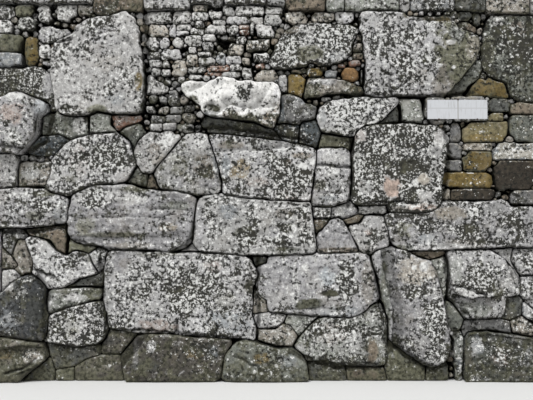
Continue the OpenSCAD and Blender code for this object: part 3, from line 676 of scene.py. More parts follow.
def filled(ring: Array, step: float) -> tuple[Array, Array]:
    """Fills a closed ring with a grid: a Coons patch between its four sides, then settled.

    Settling moves each inner point towards the place at which the grid's lines bend least
    (Winslow's rule), which unfolds it where the outline is hollow.

    Args:
        ring: points of the outline, anticlockwise and closely spaced.
        step: wanted width of the grid's cells.

    Returns:
        The grid's points, as rows by columns by two, and the flat numbers of its rim in order.
    """
    corners = four_corners(ring)
    passed = np.r_[0, np.cumsum(edge_lengths(ring))]
    starts = passed[corners]
    lengths = np.mod(np.roll(starts, -1) - starts, passed[-1])
    across = max(3, round(float(lengths[0] + lengths[2]) / 2 / step))
    up = max(3, round(float(lengths[1] + lengths[3]) / 2 / step))
    sides = [
        along_ring(ring, start + length * np.linspace(0, 1, count + 1))
        for start, length, count in zip(starts, lengths, (across, up, across, up))
    ]
    foot, right, head, left = sides[0], sides[1], sides[2][::-1], sides[3][::-1]
    u = np.linspace(0, 1, across + 1)[:, None, None]
    v = np.linspace(0, 1, up + 1)[None, :, None]
    ruled = (1 - v) * foot[:, None] + v * head[:, None] + (1 - u) * left[None] + u * right[None]
    lower = (1 - u) * foot[0] + u * foot[-1]
    upper = (1 - u) * head[0] + u * head[-1]
    grid = ruled - (1 - v) * lower - v * upper
    for _ in range(SETTLING_ROUNDS):
        du = (grid[2:, 1:-1] - grid[:-2, 1:-1]) / 2
        dv = (grid[1:-1, 2:] - grid[1:-1, :-2]) / 2
        diagonal = (grid[2:, 2:] - grid[2:, :-2] - grid[:-2, 2:] + grid[:-2, :-2]) / 4
        a = (dv * dv).sum(axis=2, keepdims=True) + 1e-12
        b = (du * dv).sum(axis=2, keepdims=True)
        c = (du * du).sum(axis=2, keepdims=True) + 1e-12
        along = a * (grid[2:, 1:-1] + grid[:-2, 1:-1]) + c * (grid[1:-1, 2:] + grid[1:-1, :-2])
        target = (along - 2 * b * diagonal) / (2 * (a + c))
        grid[1:-1, 1:-1] += SETTLING_SHARE * (target - grid[1:-1, 1:-1])
    number = np.arange((across + 1) * (up + 1)).reshape(across + 1, up + 1)
    rim = np.r_[number[:-1, 0], number[-1, :-1], number[:0:-1, -1], number[0, :0:-1]]
    return grid, rim


def nearest_of(points: Array, border: Array, window: float = 2.0) -> tuple[Array, Array]:
    """Finds the nearest of a set of border points to each point, in slices to save memory.

    Args:
        points: places, right and up.
        border: points of one or more outlines.
        window: border points farther than this to the left or right are passed over.

    Returns:
        The distances, and the numbers of the nearest border points.
    """
    distance, number = np.full(len(points), window), np.zeros(len(points), int)
    for part in np.array_split(np.argsort(points[:, 0]), max(1, len(points) // SLICE)):
        across = points[part, 0]
        beside = (border[:, 0] > across.min() - window) & (border[:, 0] < across.max() + window)
        near = np.flatnonzero(beside)
        if len(near):
            apart = points[part, None].astype(np.float32) - border[None, near].astype(np.float32)
            square = (apart**2).sum(axis=2)
            number[part] = near[square.argmin(axis=1)]
            distance[part] = np.sqrt(square.min(axis=1))
    return distance, number


def inside(points: Array, ring: Array) -> Array:
    """Tests points: from one inside, a line to the right crosses the ring an odd number of times.

    Args:
        points: places, one row each.
        ring: the ring's corners in order.

    Returns:
        For each point, whether it is inside.
    """
    odd = np.zeros(len(points), bool)
    for a, b in zip(ring, np.roll(ring, -1, axis=0)):
        spans = (a[1] > points[:, 1]) != (b[1] > points[:, 1])
        crossing = a[0] + (points[:, 1] - a[1]) * (b[0] - a[0]) / (b[1] - a[1] + 1e-12)
        odd ^= spans & (points[:, 0] < crossing)
    return odd


@dataclass
class Bond:
    """The stones of one side of the wall, which fill the room between them until their joints are narrow.

    joint: width that is left of a joint; gape: what is added to it where it gapes; most: how far
    a stone's border may move; wide: a gap wider than this is a hole, which stays open.
    """

    joint: float = 0.003
    gape: float = 0.026
    most: float = 0.03
    wide: float = 0.085
    spacing: float = 0.008
    rounds: int = 4
    stones: list[Stone] = field(default_factory=list)

    def border(self, stone: Stone) -> Array:
        """Closely spaced points of a stone's outline."""
        return along_ring(stone.outline, np.arange(0, edge_lengths(stone.outline).sum(), self.spacing))

    def limits(self) -> tuple[Array, Array]:
        """Lowest and highest places of all outlines."""
        corners = np.vstack([stone.outline for stone in self.stones])
        return corners.min(axis=0), corners.max(axis=0)

    def from_edges(self, ring: Array) -> Array:
        """How far each point of a ring is from the ends, the foot and the top of the side."""
        low, high = self.limits()
        return np.minimum(ring - low, high - ring).min(axis=1)

    def filled_out(self, stone: Stone, ring: Array) -> Array:
        """Moves a stone's ring outwards, until it is nearly as far from its old place as from other stones.

        Args:
            stone: the stone.
            ring: its closely spaced ring.

        Returns:
            The ring in its new place, within the limits of the wall's side.
        """
        low, high = ring.min(axis=0) - self.wide, ring.max(axis=0) + self.wide
        near = [other for other in self.stones if other is not stone and other.meets(low, high)]
        if not near:
            return ring
        border, others = self.border(stone), np.vstack([self.border(other) for other in near])
        gape = self.gape * eased(self.from_edges(ring) / self.wide)
        joint = self.joint + gape * eased(2 * NOISE.fractal(lifted(ring, 6.6), 0.22, 3, 0.6))
        for _ in range(self.rounds):
            gap, number = nearest_of(ring, others, self.wide)
            moved, _ = nearest_of(ring, border, self.wide)
            outward = -inward_of(ring, 2)
            ahead = ((others[number] - ring) * outward).sum(axis=1) / (gap + self.joint)
            move = np.clip(np.minimum((gap - moved - joint) / 2, self.most - moved), 0, None)
            move *= eased((self.wide - gap - moved) / (0.3 * self.wide)) * eased(2 * ahead - 0.4)
            move = (np.roll(move, -1) + move + np.roll(move, 1)) / 3
            ring = ring + outward * move[:, None]
        return np.clip(ring, *self.limits())


@dataclass
class Shell:
    """Surface of one stone: corners, four-sided faces, the ring that closes it and its colours, whose covers
    end with painted shade.
    """

    corners: Array
    quads: Array
    cap: Array
    tint: Array
    cover: Array


@dataclass
class Mason:
    """Works out the weathered surface of a stone.

    step is the width of the grid's cells. A stone's sides have rings of corners at hidden_sides
    behind the rim, or from first_ring on every open_gap where a side shows: at the wall's two ends
    and its top, and are drawn in by side_rough, hidden and open. A wave is a wavelength of noise. A
    facet is up to facet_turn off its even turn, begins at a share of the way to the outline and
    falls by a share of the face's rise. Moss and painted shade reach joint_moss_and_shade out of a
    joint, and damp damp_height up from the floor.
    """

    facing: Facing
    step: float = 0.010
    hidden_sides: tuple = (0.008, 0.03, 0.09)
    open_gap: float = 0.034
    first_ring: float = 0.012
    end_at: float = 2.5
    top_at: float = 3.2
    outline_wave: float = 0.2
    side_wave: float = 0.11
    side_rough: tuple = (0.003, 0.008)
    least_arris: float = 0.004
    arris_wave: float = 0.16
    swell_waves: tuple = (0.34, 0.11)
    grit_wave: float = 0.052
    ridge_wave: float = 0.085
    layer_wave: float = 0.05
    facet_turn: float = 0.6
    facet_places: tuple = (0.1, 0.75)
    facet_falls: tuple = (0.15, 0.9)
    facet_bend: float = 0.012
    chip_turn: float = 0.5
    chip_slopes: tuple = (0.22, 0.7)
    chip_widths: tuple = (0.10, 0.32)
    chip_hollow: float = 0.035
    # How far moss, less white lichen and painted shade reach onto the face from a joint
    joint_moss_and_shade: float = 0.005
    damp_height: float = 0.22
    bond: Bond = field(default_factory=Bond)

    def is_open(self, stone: Stone) -> bool:
        """Whether a side of the stone shows at the wall's ends or top."""
        at_end = np.abs(stone.outline[:, 0]).max() > self.end_at
        return self.facing is Facing.TOP or bool(at_end) or bool(stone.outline[:, 1].max() > self.top_at)

    def side_depths(self, stone: Stone) -> Array:
        """Chooses where the rings round a stone's sides lie, but for the one at its tail.

        Args:
            stone: the stone.

        Returns:
            Depths behind its rim.
        """
        if not self.is_open(stone):
            return np.array(self.hidden_sides[: 1 if stone.size < SMALL_STONE else None])
        whole = stone.rim(stone.outline).min() - stone.tail
        return np.arange(self.first_ring, whole - 0.4 * self.open_gap, self.open_gap)

    def worn_ring(self, stone: Stone, wear: Wear) -> Array:
        """The stone's outline with rounded corners, drawn in here and there.

        Args:
            stone: the stone whose outline is worn.
            wear: how much it has worn.

        Returns:
            Closely spaced points, anticlockwise.
        """
        drawn_in = stone.chance.uniform(0, wear.skew, (len(stone.outline), 1))
        corners = stone.outline + drawn_in * (stone.middle - stone.outline)
        ring = corners_cut(corners, min(wear.corner, 0.2 * stone.size))
        length = edge_lengths(ring).sum()
        count = max(16, round(length / (0.5 * self.step)))
        ring = self.bond.filled_out(stone, along_ring(ring, np.arange(count) * length / count))
        wave = min(self.outline_wave, 0.9 * stone.size)
        wander = 0.2 + 1.6 * NOISE.fractal(lifted(ring, stone.salt), wave, 5, 0.68)
        most = min(wear.wobble, 0.11 * stone.size) * (0.4 + 0.6 * eased(self.bond.from_edges(ring) / 0.1))
        return ring + inward_of(ring, 2) * (most * np.clip(wander, 0, 2))[:, None]

    def faceted(self, stone: Stone, wear: Wear, points: Array) -> Array:
        """Height of a face made of leaning planes, each of which falls away beyond a line across it.

        Args:
            stone: the stone.
            wear: how it has weathered, with the number of planes.
            points: places on its face, right and up.

        Returns:
            Heights outwards, never lower than just above the rim.
        """
        chance = stone.chance
        half = np.ptp(stone.outline, axis=0) / 2
        rise = (stone.face(stone.middle) - stone.rim(stone.middle)).item()
        drop = np.zeros(len(points))
        for turn in np.linspace(0, 2 * np.pi, wear.facets, endpoint=False):
            angle = turn + chance.uniform(-self.facet_turn, self.facet_turn)
            way = np.array([math.cos(angle), math.sin(angle)])
            whole, share = np.abs(way) @ half, chance.uniform(*self.facet_places)
            beyond = (points - stone.middle) @ way - share * whole
            slope = rise * chance.uniform(*self.facet_falls) / ((1 - share) * whole)
            drop += slope * 0.5 * (beyond + np.sqrt(beyond**2 + self.facet_bend**2))
        return np.maximum(stone.face(points) - drop, stone.rim(points) + 0.25 * wear.arris)

    def chipped(self, stone: Stone, wear: Wear, points: Array, height: Array) -> Array:
        """Breaks pieces off the rim: near chosen points of the outline a leaning plane cuts the face.

        Args:
            stone: the stone.
            wear: how it has weathered, with the number of chips.
            points: places on its face.
            height: heights there before.

        Returns:
            The lower heights.
        """
        chance = stone.chance
        ring, rim = stone.outline, stone.rim(points)
        for _ in range(wear.chips):
            k = chance.integers(len(ring))
            start = ring[k] + (ring[(k + 1) % len(ring)] - ring[k]) * chance.uniform(0, 1)
            to_middle = stone.middle - start
            off = chance.uniform(-self.chip_turn, self.chip_turn)
            angle = math.atan2(to_middle[1], to_middle[0]) + off
            apart = points - start
            inwards = apart @ [math.cos(angle), math.sin(angle)]
            beside = apart @ [-math.sin(angle), math.cos(angle)]
            slope = chance.uniform(*self.chip_slopes)
            width = stone.size * chance.uniform(*self.chip_widths)
            plane = rim + 0.004 + slope * np.clip(inwards, -0.02, None)
            plane = plane + (beside / width) ** 2 * self.chip_hollow
            height = np.where(plane < height, plane + 0.15 * (height - plane), height)
        return height

    def relief(self, block: Block, stone: Stone, points: Array, edge: Array) -> tuple[Array, Array]:
        """Height of the face at each point, and how deep it lies in pits and cracks.

        The rim rises to the face as a quarter of an oval, broken corners cut it as leaning
        planes, and noise of falling wavelength gives the swell, the layers and the grit.

        Args:
            block: the stone's wear and marks.
            stone: the stone.
            points: places on its face, right and up.
            edge: their distances from its outline.

        Returns:
            Heights outwards, and depths of the hollows from 0 to 1.
        """
        wear, place = block.wear, lifted(points, stone.salt)
        arris = min(wear.arris, 0.3 * stone.size) * (1 + 0.8 * NOISE.fractal(place + 31, self.arris_wave, 2))
        arris = np.maximum(arris, self.least_arris)
        t = np.clip(edge / arris, 0, 1)
        rim, face = stone.rim(points), self.faceted(stone, wear, points)
        height = rim + (face - rim) * (1 - (1 - t) ** 2.3) ** (1 / 2.3)
        inner = eased(edge / (1.6 * arris))
        scale = min(1.0, stone.size / 0.45)
        long, short = self.swell_waves
        broad = NOISE.fractal(place, long, 2) + 0.6 * NOISE.fractal(place + 53, short, 2)
        height += wear.swell * scale * (broad - 0.4) * (0.25 + 0.75 * inner)
        height = self.chipped(stone, wear, points, height)
        fine = NOISE.fractal(place + 71, self.grit_wave, 3, 0.72)
        ridged = 1 - 2 * np.abs(NOISE.fractal(place + 97, self.ridge_wave, 2))
        rough = 0.6 * fine + 0.4 * ridged
        height += wear.grit * 1.6 * (rough - 0.5) * (0.35 + 0.65 * inner)
        if wear.bedding:
            layer = place * [0.16, 1.0, 1.0] + 0.02 * NOISE.at(place, 0.3)[:, None]
            layers = NOISE.fractal(layer, self.layer_wave, 3, 0.7)
            height += wear.bedding * (layers - 0.4) * (0.3 + 0.7 * inner)
        joints = WASHED_OUT if self.facing is Facing.FRONT else ()
        cut = sum((mark.cut(points) for mark in (*block.marks, *joints)), np.zeros(len(points)))
        height -= cut * (0.55 + 0.45 * inner)
        pits = np.clip(-1.4 * rough - 0.3, 0, 1) + np.clip(cut - 0.004, 0, None) / 0.016
        return np.minimum(height, stone.face(points)), np.clip(pits, 0, 1)

    def colours(
        self, block: Block, look: Look, points: Array, edge: Array, pits: Array, lean: Array
    ) -> tuple[Array, Array]:
        """Colour of the bare stone and its covers at each point, with the block's patches laid on.

        Painted light and shade: slopes that look up are painted paler and those that look down darker,
        as if lit from above. Slopes that look up also have more white lichen, and those that look down
        more dark crust, which adds to the painted shade.

        Args:
            block: the block's patches.
            look: the stone's look.
            points: places on its face.
            edge: their distances from its outline.
            pits: how deep they lie in hollows.
            lean: how far the face leans out over them, below zero where it leans back.

        Returns:
            Colours as red, green, blue and 1, and covers as white, dark, moss and painted shade of joints
            and hollows.
        """
        tint = np.tile([*look.colour, 1.0], (len(points), 1))
        cover = np.tile([*look.covers, 0.0], (len(points), 1))
        for patch in block.patches:
            share = patch.share(points)
            if patch.tone is not None:
                aim = np.array(patch.tone.value) * (patch.shade / PER_CENT)
                tint[:, :3] += share[:, None] * (aim - tint[:, :3])
            for k, amount in enumerate((patch.white, patch.dark, patch.moss)):
                if amount is not None:
                    cover[:, k] += share * (amount / PER_CENT - cover[:, k])
        if self.facing is not Facing.TOP:
            damp = np.exp(-np.clip(points[:, 1], 0, None) / self.damp_height)
            cover[:, 2] += 0.3 * damp
            tint[:, :3] *= (1 - 0.3 * damp)[:, None]
            # Painted light and shade: darker where the face looks down, paler where it looks up, and darker
            # on steep slopes
            tint[:, :3] *= (1 - 0.3 * lean - 0.12 * np.abs(lean))[:, None]
            # More white lichen where the face looks up; more dark crust where it looks down, adding to the
            # painted shade
            cover[:, 0] -= 0.45 * lean
            cover[:, 1] += 0.25 * np.clip(lean, 0, 1)
        # Near joints: less white lichen and more moss; near joints and in pits and cracks, painted shade in
        # the last cover, which darkens the colour
        in_joint = np.exp(-edge / self.joint_moss_and_shade)
        cover[:, 0] *= 1 - 0.6 * in_joint
        cover[:, 2] += 0.3 * in_joint + 0.2 * pits
        cover[:, 3] = 0.2 * in_joint + 0.7 * pits
        return tint, np.clip(cover, 0, 1)

    def sides(self, stone: Stone, border: Array, start: Array) -> list[Array]:
        """Rings of corners round the stone behind its rim: the border drawn in by noise, and the tail.

        Args:
            stone: the stone.
            border: the rim's places.
            start: the rim's heights.

        Returns:
            The rings, as right, up and out.
        """
        inward, rings = inward_of(border, 1), []
        roughness = self.side_rough[self.is_open(stone)]
        for depth in self.side_depths(stone):
            rough = NOISE.fractal(np.c_[border, start - depth + stone.salt], self.side_wave, 3, 0.6)
            drawn_in = roughness * np.clip(0.55 + rough, 0.05, 1.5) * min(1.0, 0.3 + depth / 0.05)
            rings.append(np.c_[border + inward * drawn_in[:, None], start - depth])
        rings.append(np.c_[border, np.full(len(border), stone.tail)])
        return rings

    def shell(self, block: Block, look: Look, stone: Stone) -> Shell:
        """Builds one stone: its face from the filled grid, its sides and its end.

        Args:
            block: the block that it belongs to.
            look: its look.
            stone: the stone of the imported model.

        Returns:
            Its surface and colours.
        """
        step = self.step * (0.8 if stone.size < SMALL_STONE else 1.0)
        grid, rim = filled(self.worn_ring(stone, block.wear), step)
        points = grid.reshape(-1, 2)
        edge, _ = nearest_of(points, points[rim])
        height, pits = self.relief(block, stone, points, edge)
        # How far the face leans, which colours() turns into painted light and shade
        rise = np.gradient(height.reshape(grid.shape[:2]), axis=1)
        lean = rise / np.maximum(np.gradient(grid[:, :, 1], axis=1), 0.2 * step)
        tint, cover = self.colours(block, look, points, edge, pits, np.clip(lean, -1, 1).ravel())
        rings = self.sides(stone, points[rim], height[rim])
        number = np.arange(len(points)).reshape(grid.shape[:2])
        face = np.stack([number[:-1, :-1], number[1:, :-1], number[1:, 1:], number[:-1, 1:]], axis=2)
        quads, above = [face.reshape(-1, 4)], rim
        for k in range(len(rings)):
            below = len(points) + k * len(rim) + np.arange(len(rim))
            quads.append(np.stack([above, below, np.roll(below, -1), np.roll(above, -1)], axis=1))
            above = below
        # Sides hidden in the joints are painted dark as shade: little white, much dark crust and moss, and
        # painted shade last; open sides take the face's covers, a little more moss and a little painted
        # shade
        side = [0.05, 0.5, 0.5, 0.5 if stone.size < SMALL_STONE else 0.8]
        if self.is_open(stone):
            side = [*look.covers[:2], look.covers[2] + 0.1, 0.1]
        return Shell(
            np.vstack([np.c_[points, height], *rings]) @ self.facing.basis,
            np.vstack(quads),
            above[::-1],
            np.vstack([tint, np.tile(tint[rim], (len(rings), 1))]),
            np.vstack([cover, np.tile(side, (len(rings) * len(rim), 1))]),
        )


def placed(name: str, data: bpy.types.ID) -> bpy.types.Object:
    """Makes an object at the origin, in the scene.

    Args:
        name: its name.
        data: its mesh, camera or light.

    Returns:
        The object.
    """
    made = bpy.data.objects.new(name, data)
    bpy.context.scene.collection.objects.link(made)
    return made


def mesh_from(name: str, shells: list[Shell]) -> bpy.types.Object:
    """Puts shells into one mesh, with their colours as attributes of its corners.

    Args:
        name: name of the new object.
        shells: the stones' surfaces.

    Returns:
        The object, at the origin, in the scene.
    """
    starts = np.r_[0, np.cumsum([len(s.corners) for s in shells])]
    corners = np.vstack([s.corners for s in shells])
    quads = np.vstack([s.quads + start for s, start in zip(shells, starts)])
    caps = [s.cap + start for s, start in zip(shells, starts)]
    loops = np.concatenate([quads.ravel(), *caps]).astype(np.int32)
    sizes = np.r_[np.full(len(quads), 4), [len(c) for c in caps]]
    mesh = bpy.data.meshes.new(name)
    mesh.vertices.add(len(corners))
    mesh.vertices.foreach_set("co", corners.astype(np.float32).ravel())
    mesh.loops.add(len(loops))
    mesh.loops.foreach_set("vertex_index", loops)
    mesh.polygons.add(len(sizes))
    mesh.polygons.foreach_set("loop_start", np.r_[0, np.cumsum(sizes)[:-1]].astype(np.int32))
    mesh.polygons.foreach_set("use_smooth", np.ones(len(sizes), bool))
    mesh.update(calc_edges=True)
    # The cover attribute holds white lichen, dark crust, moss and, last, painted shade
    for title, values in (("tint", [s.tint for s in shells]), ("cover", [s.cover for s in shells])):
        layer = mesh.attributes.new(title, "FLOAT_COLOR", "POINT")
        layer.data.foreach_set("color", np.vstack(values).astype(np.float32).ravel())
    return placed(name, mesh)


class Shading:
    """Short calls for making the nodes of a material or a node group."""

    def __init__(self, tree: bpy.types.NodeTree) -> None:
        """Keeps the tree that nodes are added to."""
        self.tree = tree

    def put(self, socket: Socket, value: Value) -> None:
        """Gives a socket what it takes.

        Args:
            socket: an input of a node.
            value: a plain value, or the output to link it to.
        """
        if isinstance(value, Socket):
            self.tree.links.new(value, socket)
        else:
            socket.default_value = value

    def add(self, kind: str, inputs: Inputs | None = None, **settings: object) -> bpy.types.Node:
        """Adds a node.

        Args:
            kind: its type.
            inputs: values of its sockets, by their numbers or names.
            **settings: its properties.

        Returns:
            The node.
        """
        node = self.tree.nodes.new(kind)
        for key, value in settings.items():
            setattr(node, key, value)
        for key, value in (inputs or {}).items():
            self.put(node.inputs[key], value)
        return node

    def place(self) -> Socket:
        """Object coordinates."""
        return self.add("ShaderNodeTexCoord").outputs["Object"]

    def maths(self, operation: str, *values: Value) -> Socket:
        """One step of arithmetic on values or sockets."""
        return self.add("ShaderNodeMath", dict(enumerate(values)), operation=operation).outputs[0]

    def ramp(self, value: Value, low: Value, high: Value, start: float = 0.0, end: float = 1.0) -> Socket:
        """Maps a value between low and high to two others, smoothly and clamped."""
        given = dict(enumerate((value, low, high, start, end)))
        return self.add("ShaderNodeMapRange", given, interpolation_type="SMOOTHSTEP").outputs[0]

    def mix(self, share: Value, first: Value, second: Value) -> Socket:
        """Mixes two colours by a share."""
        return self.add("ShaderNodeMix", {0: share, 6: first, 7: second}, data_type="RGBA").outputs[2]

    def dimmed(self, colour: Value, amount: Value) -> Socket:
        """A colour times an amount."""
        return self.add("ShaderNodeVectorMath", {0: colour, "Scale": amount}, operation="SCALE").outputs[0]

    def parts(self, colour: Value) -> tuple[Socket, ...]:
        """Red, green and blue of a colour."""
        return tuple(self.add("ShaderNodeSeparateColor", {0: colour}).outputs)

    def noise(self, vector: Value, scale: float, detail: float, rough: float = 0.5) -> Socket:
        """Height of a fractal noise in space."""
        given = {"Vector": vector, "Scale": scale, "Detail": detail, "Roughness": rough}
        return self.add("ShaderNodeTexNoise", given).outputs["Fac"]

    def cells(self, vector: Value, scale: Value) -> tuple[Socket, ...]:
        """Distance to the middle of the nearest cell, and two random values of that cell."""
        cell = self.add("ShaderNodeTexVoronoi", {"Vector": vector, "Scale": scale}).outputs
        return cell["Distance"], *self.parts(cell["Color"])[:2]

    def bump(self, strength: float, depth: float, height: Value) -> Socket:
        """Normals of a surface that is raised by a height."""
        given = {"Strength": strength, "Distance": depth, "Height": height}
        return self.add("ShaderNodeBump", given).outputs["Normal"]

    def finish(self, inputs: Inputs) -> None:
        """Adds the Principled shader with these inputs, and the material's output."""
        shader = self.add("ShaderNodeBsdfPrincipled", inputs)
        self.add("ShaderNodeOutputMaterial", {"Surface": shader.outputs["BSDF"]})


def blank(name: str) -> tuple[bpy.types.Material, Shading]:
    """Makes a material without nodes.

    Args:
        name: its name.

    Returns:
        The material, and the calls that add its nodes.
    """
    material = bpy.data.materials.new(name)
    material.use_nodes = True
    material.node_tree.nodes.clear()
    return material, Shading(material.node_tree)


def plain(colour: tuple) -> tuple:
    """A colour with full opacity."""
    return (*colour, 1.0)


def crust_group() -> bpy.types.NodeTree:
    """Stone under lichen: its own mottling, pale film, dark crust, rosettes, moss and shaded hollows.

    Returns:
        The node group, with its colour, height and roughness as outputs.
    """
    tree = bpy.data.node_groups.new("lichened_stone", "ShaderNodeTree")
    sockets = (
        ("INPUT", "NodeSocketColor", ("Tint", "Lichen")),
        ("INPUT", "NodeSocketFloat", ("White", "Dark", "Moss", "Hollow", "Speck")),
        ("OUTPUT", "NodeSocketColor", ("Color",)),
        ("OUTPUT", "NodeSocketFloat", ("Height", "Roughness")),
    )
    for side, kind, names in sockets:
        for name in names:
            tree.interface.new_socket(name, in_out=side, socket_type=kind)
    s = Shading(tree)
    given = s.add("NodeGroupInput").outputs
    white, dark, moss, speck = given["White"], given["Dark"], given["Moss"], given["Speck"]
    place = s.place()
    # Places bent a little, so that rosettes aren't round
    warp = s.add("ShaderNodeTexNoise", {"Vector": place, "Scale": 55.0, "Detail": 3.0}).outputs["Color"]
    bent = {0: warp, 1: (0.024, 0.024, 0.024), 2: place}
    wavy = s.add("ShaderNodeVectorMath", bent, operation="MULTIPLY_ADD").outputs[0]
    # Bare stone: mottled light and dark, and warmer here and there
    broad = s.noise(place, 2.8, 4.0, 0.6)
    fine = s.noise(place, 36.0, 6.0, 0.7)
    grain = s.noise(place, 150.0, 3.0, 0.65)
    light = s.maths("MULTIPLY", s.ramp(broad, 0.35, 0.65, 0.78, 1.2), s.ramp(fine, 0.36, 0.64, 0.62, 1.35))
    light = s.maths("MULTIPLY", light, s.ramp(grain, 0.25, 0.75, 0.78, 1.22))
    colour = s.dimmed(given["Tint"], light)
    warmth = s.ramp(s.noise(place, 6.3, 5.0, 0.6), 0.52, 0.68, 0.0, 0.2)
    colour = s.mix(warmth, colour, plain((0.30, 0.25, 0.17)))
    # Thin pale film
    film = s.maths("MULTIPLY_ADD", white, 0.30, s.noise(place, 19.0, 8.0, 0.75))
    colour = s.mix(s.ramp(film, 0.58, 0.70, 0.0, 0.6), colour, given["Lichen"])
    # Black dots, which gather in clusters
    clusters = s.maths("MULTIPLY_ADD", s.noise(place, 5.5, 3.0, 0.55), 0.9, -0.45)
    spots = s.noise(place, 36.0, 4.0, 0.62)
    gathered = s.maths("MULTIPLY", clusters, 0.35)
    pepper = s.maths("ADD", gathered, s.maths("SUBTRACT", 0.5, spots))
    peppered = s.ramp(s.maths("MULTIPLY_ADD", dark, 0.24, pepper), 0.15, 0.17)
    colour = s.mix(s.maths("MULTIPLY", peppered, 0.95), colour, plain((0.014, 0.014, 0.011)))
    # Dark crust
    crust = s.maths("MULTIPLY_ADD", dark, 0.28, s.maths("ADD", s.noise(place, 38.0, 6.0, 0.72), clusters))
    crusted = s.ramp(crust, 0.66, 0.735)
    soot = s.mix(fine, plain((0.012, 0.012, 0.010)), plain((0.085, 0.082, 0.066)))
    colour = s.mix(s.maths("MULTIPLY", crusted, 0.9), colour, soot)
    # White flecks
    flecks = s.maths("MULTIPLY_ADD", white, 0.15, s.maths("ADD", gathered, spots))
    flecks = s.maths("MULTIPLY_ADD", dark, -0.05, flecks)
    flecked = s.ramp(flecks, 0.66, 0.685)
    colour = s.mix(s.maths("MULTIPLY", flecked, 0.9), colour, plain((0.86, 0.86, 0.84)))
    # White rosettes, small and large, in some of the cells
    crowd = s.maths("MULTIPLY_ADD", clusters, 1.1, white)
    near, chosen, size = s.cells(wavy, s.maths("MULTIPLY", speck, 50.0))
    kept = s.maths("LESS_THAN", chosen, s.maths("MULTIPLY", crowd, 0.8))
    spot = s.maths("MULTIPLY", s.ramp(near, s.maths("MULTIPLY_ADD", size, 0.22, 0.34), 0.22), kept)
    far, picked, big = s.cells(wavy, s.maths("MULTIPLY", speck, 24.0))
    kept = s.maths("LESS_THAN", picked, s.maths("MULTIPLY_ADD", crowd, 0.5, -0.06))
    disc = s.maths("MULTIPLY", s.ramp(far, s.maths("MULTIPLY_ADD", big, 0.2, 0.3), 0.24), kept)
    rosette = s.maths("MAXIMUM", spot, disc)
    frost = s.mix(s.ramp(fine, 0.35, 0.65), plain((0.62, 0.62, 0.60)), plain((0.92, 0.92, 0.89)))
    colour = s.mix(s.maths("MULTIPLY", rosette, 0.9), colour, frost)
    # Moss
    mossed = s.ramp(s.maths("MULTIPLY_ADD", moss, 0.42, s.noise(place, 11.0, 6.0, 0.66)), 0.60, 0.80)
    green = s.mix(s.ramp(fine, 0.35, 0.65), plain((0.05, 0.051, 0.033)), plain((0.16, 0.157, 0.105)))
    colour = s.mix(s.maths("MULTIPLY", mossed, 0.78), colour, green)
    # What stands out, and what lies deep and dark
    height = s.maths("MULTIPLY_ADD", grain, 0.3, s.maths("MULTIPLY", fine, 0.9))
    for raised, amount in ((rosette, 0.18), (peppered, -0.35), (crusted, -0.2)):
        height = s.maths("MULTIPLY_ADD", raised, amount, height)
    out = s.add("NodeGroupOutput").inputs
    # Painted shade: the Hollow input darkens the colour down to 0.3 of itself in joints, pits and hidden
    # sides
    s.put(out["Color"], s.dimmed(colour, s.ramp(given["Hollow"], 0.0, 1.0, 1.0, 0.3)))
    s.put(out["Height"], height)
    s.put(out["Roughness"], s.ramp(s.maths("MULTIPLY_ADD", mossed, 0.3, fine), 0.2, 1.0, 0.78, 0.98))
    return tree


@dataclass(frozen=True)
class StoneFinish:
    """Finish of weathered stone: size of its specks, colour of its lichen film and depth of its grain."""

    name: str
    speck: float = 1.0
    lichen: tuple = (0.50, 0.495, 0.485)
    grain: float = 0.012

    def material(self, crust: bpy.types.NodeTree) -> bpy.types.Material:
        """Makes the material, which takes colour, covers and painted shade from the mesh's attributes.

        Args:
            crust: the node group of stone under lichen.

        Returns:
            The material.
        """
        material, s = blank(self.name)
        tint = s.add("ShaderNodeAttribute", attribute_name="tint").outputs["Color"]
        cover = s.add("ShaderNodeAttribute", attribute_name="cover").outputs
        white, dark, moss = s.parts(cover["Color"])
        # The cover's alpha is painted shade of joints, pits and hidden sides, fed to the group's Hollow
        # input
        given = {
            "Tint": tint, "White": white, "Dark": dark, "Moss": moss, "Hollow": cover["Alpha"],
            "Speck": self.speck, "Lichen": plain(self.lichen),
        }
        group = s.add("ShaderNodeGroup", given, node_tree=crust).outputs
        s.finish({
            "Base Color": group["Color"], "Roughness": group["Roughness"],
            "Normal": s.bump(0.9, self.grain, group["Height"]), "Specular IOR Level": 0.25,
        })
        return material


FINISHES = (
    StoneFinish("pale_stone", speck=1.12),
    StoneFinish("grey_stone", speck=1.35),
    StoneFinish("mossy_stone", speck=0.9, lichen=(0.33, 0.34, 0.30)),
    StoneFinish("packing_stone", speck=1.25, lichen=(0.44, 0.435, 0.41)),
    StoneFinish("ochre_stone", speck=1.4, lichen=(0.38, 0.35, 0.28), grain=0.006),
    StoneFinish("white_stone", speck=0.9, lichen=(0.84, 0.83, 0.81), grain=0.007),
)


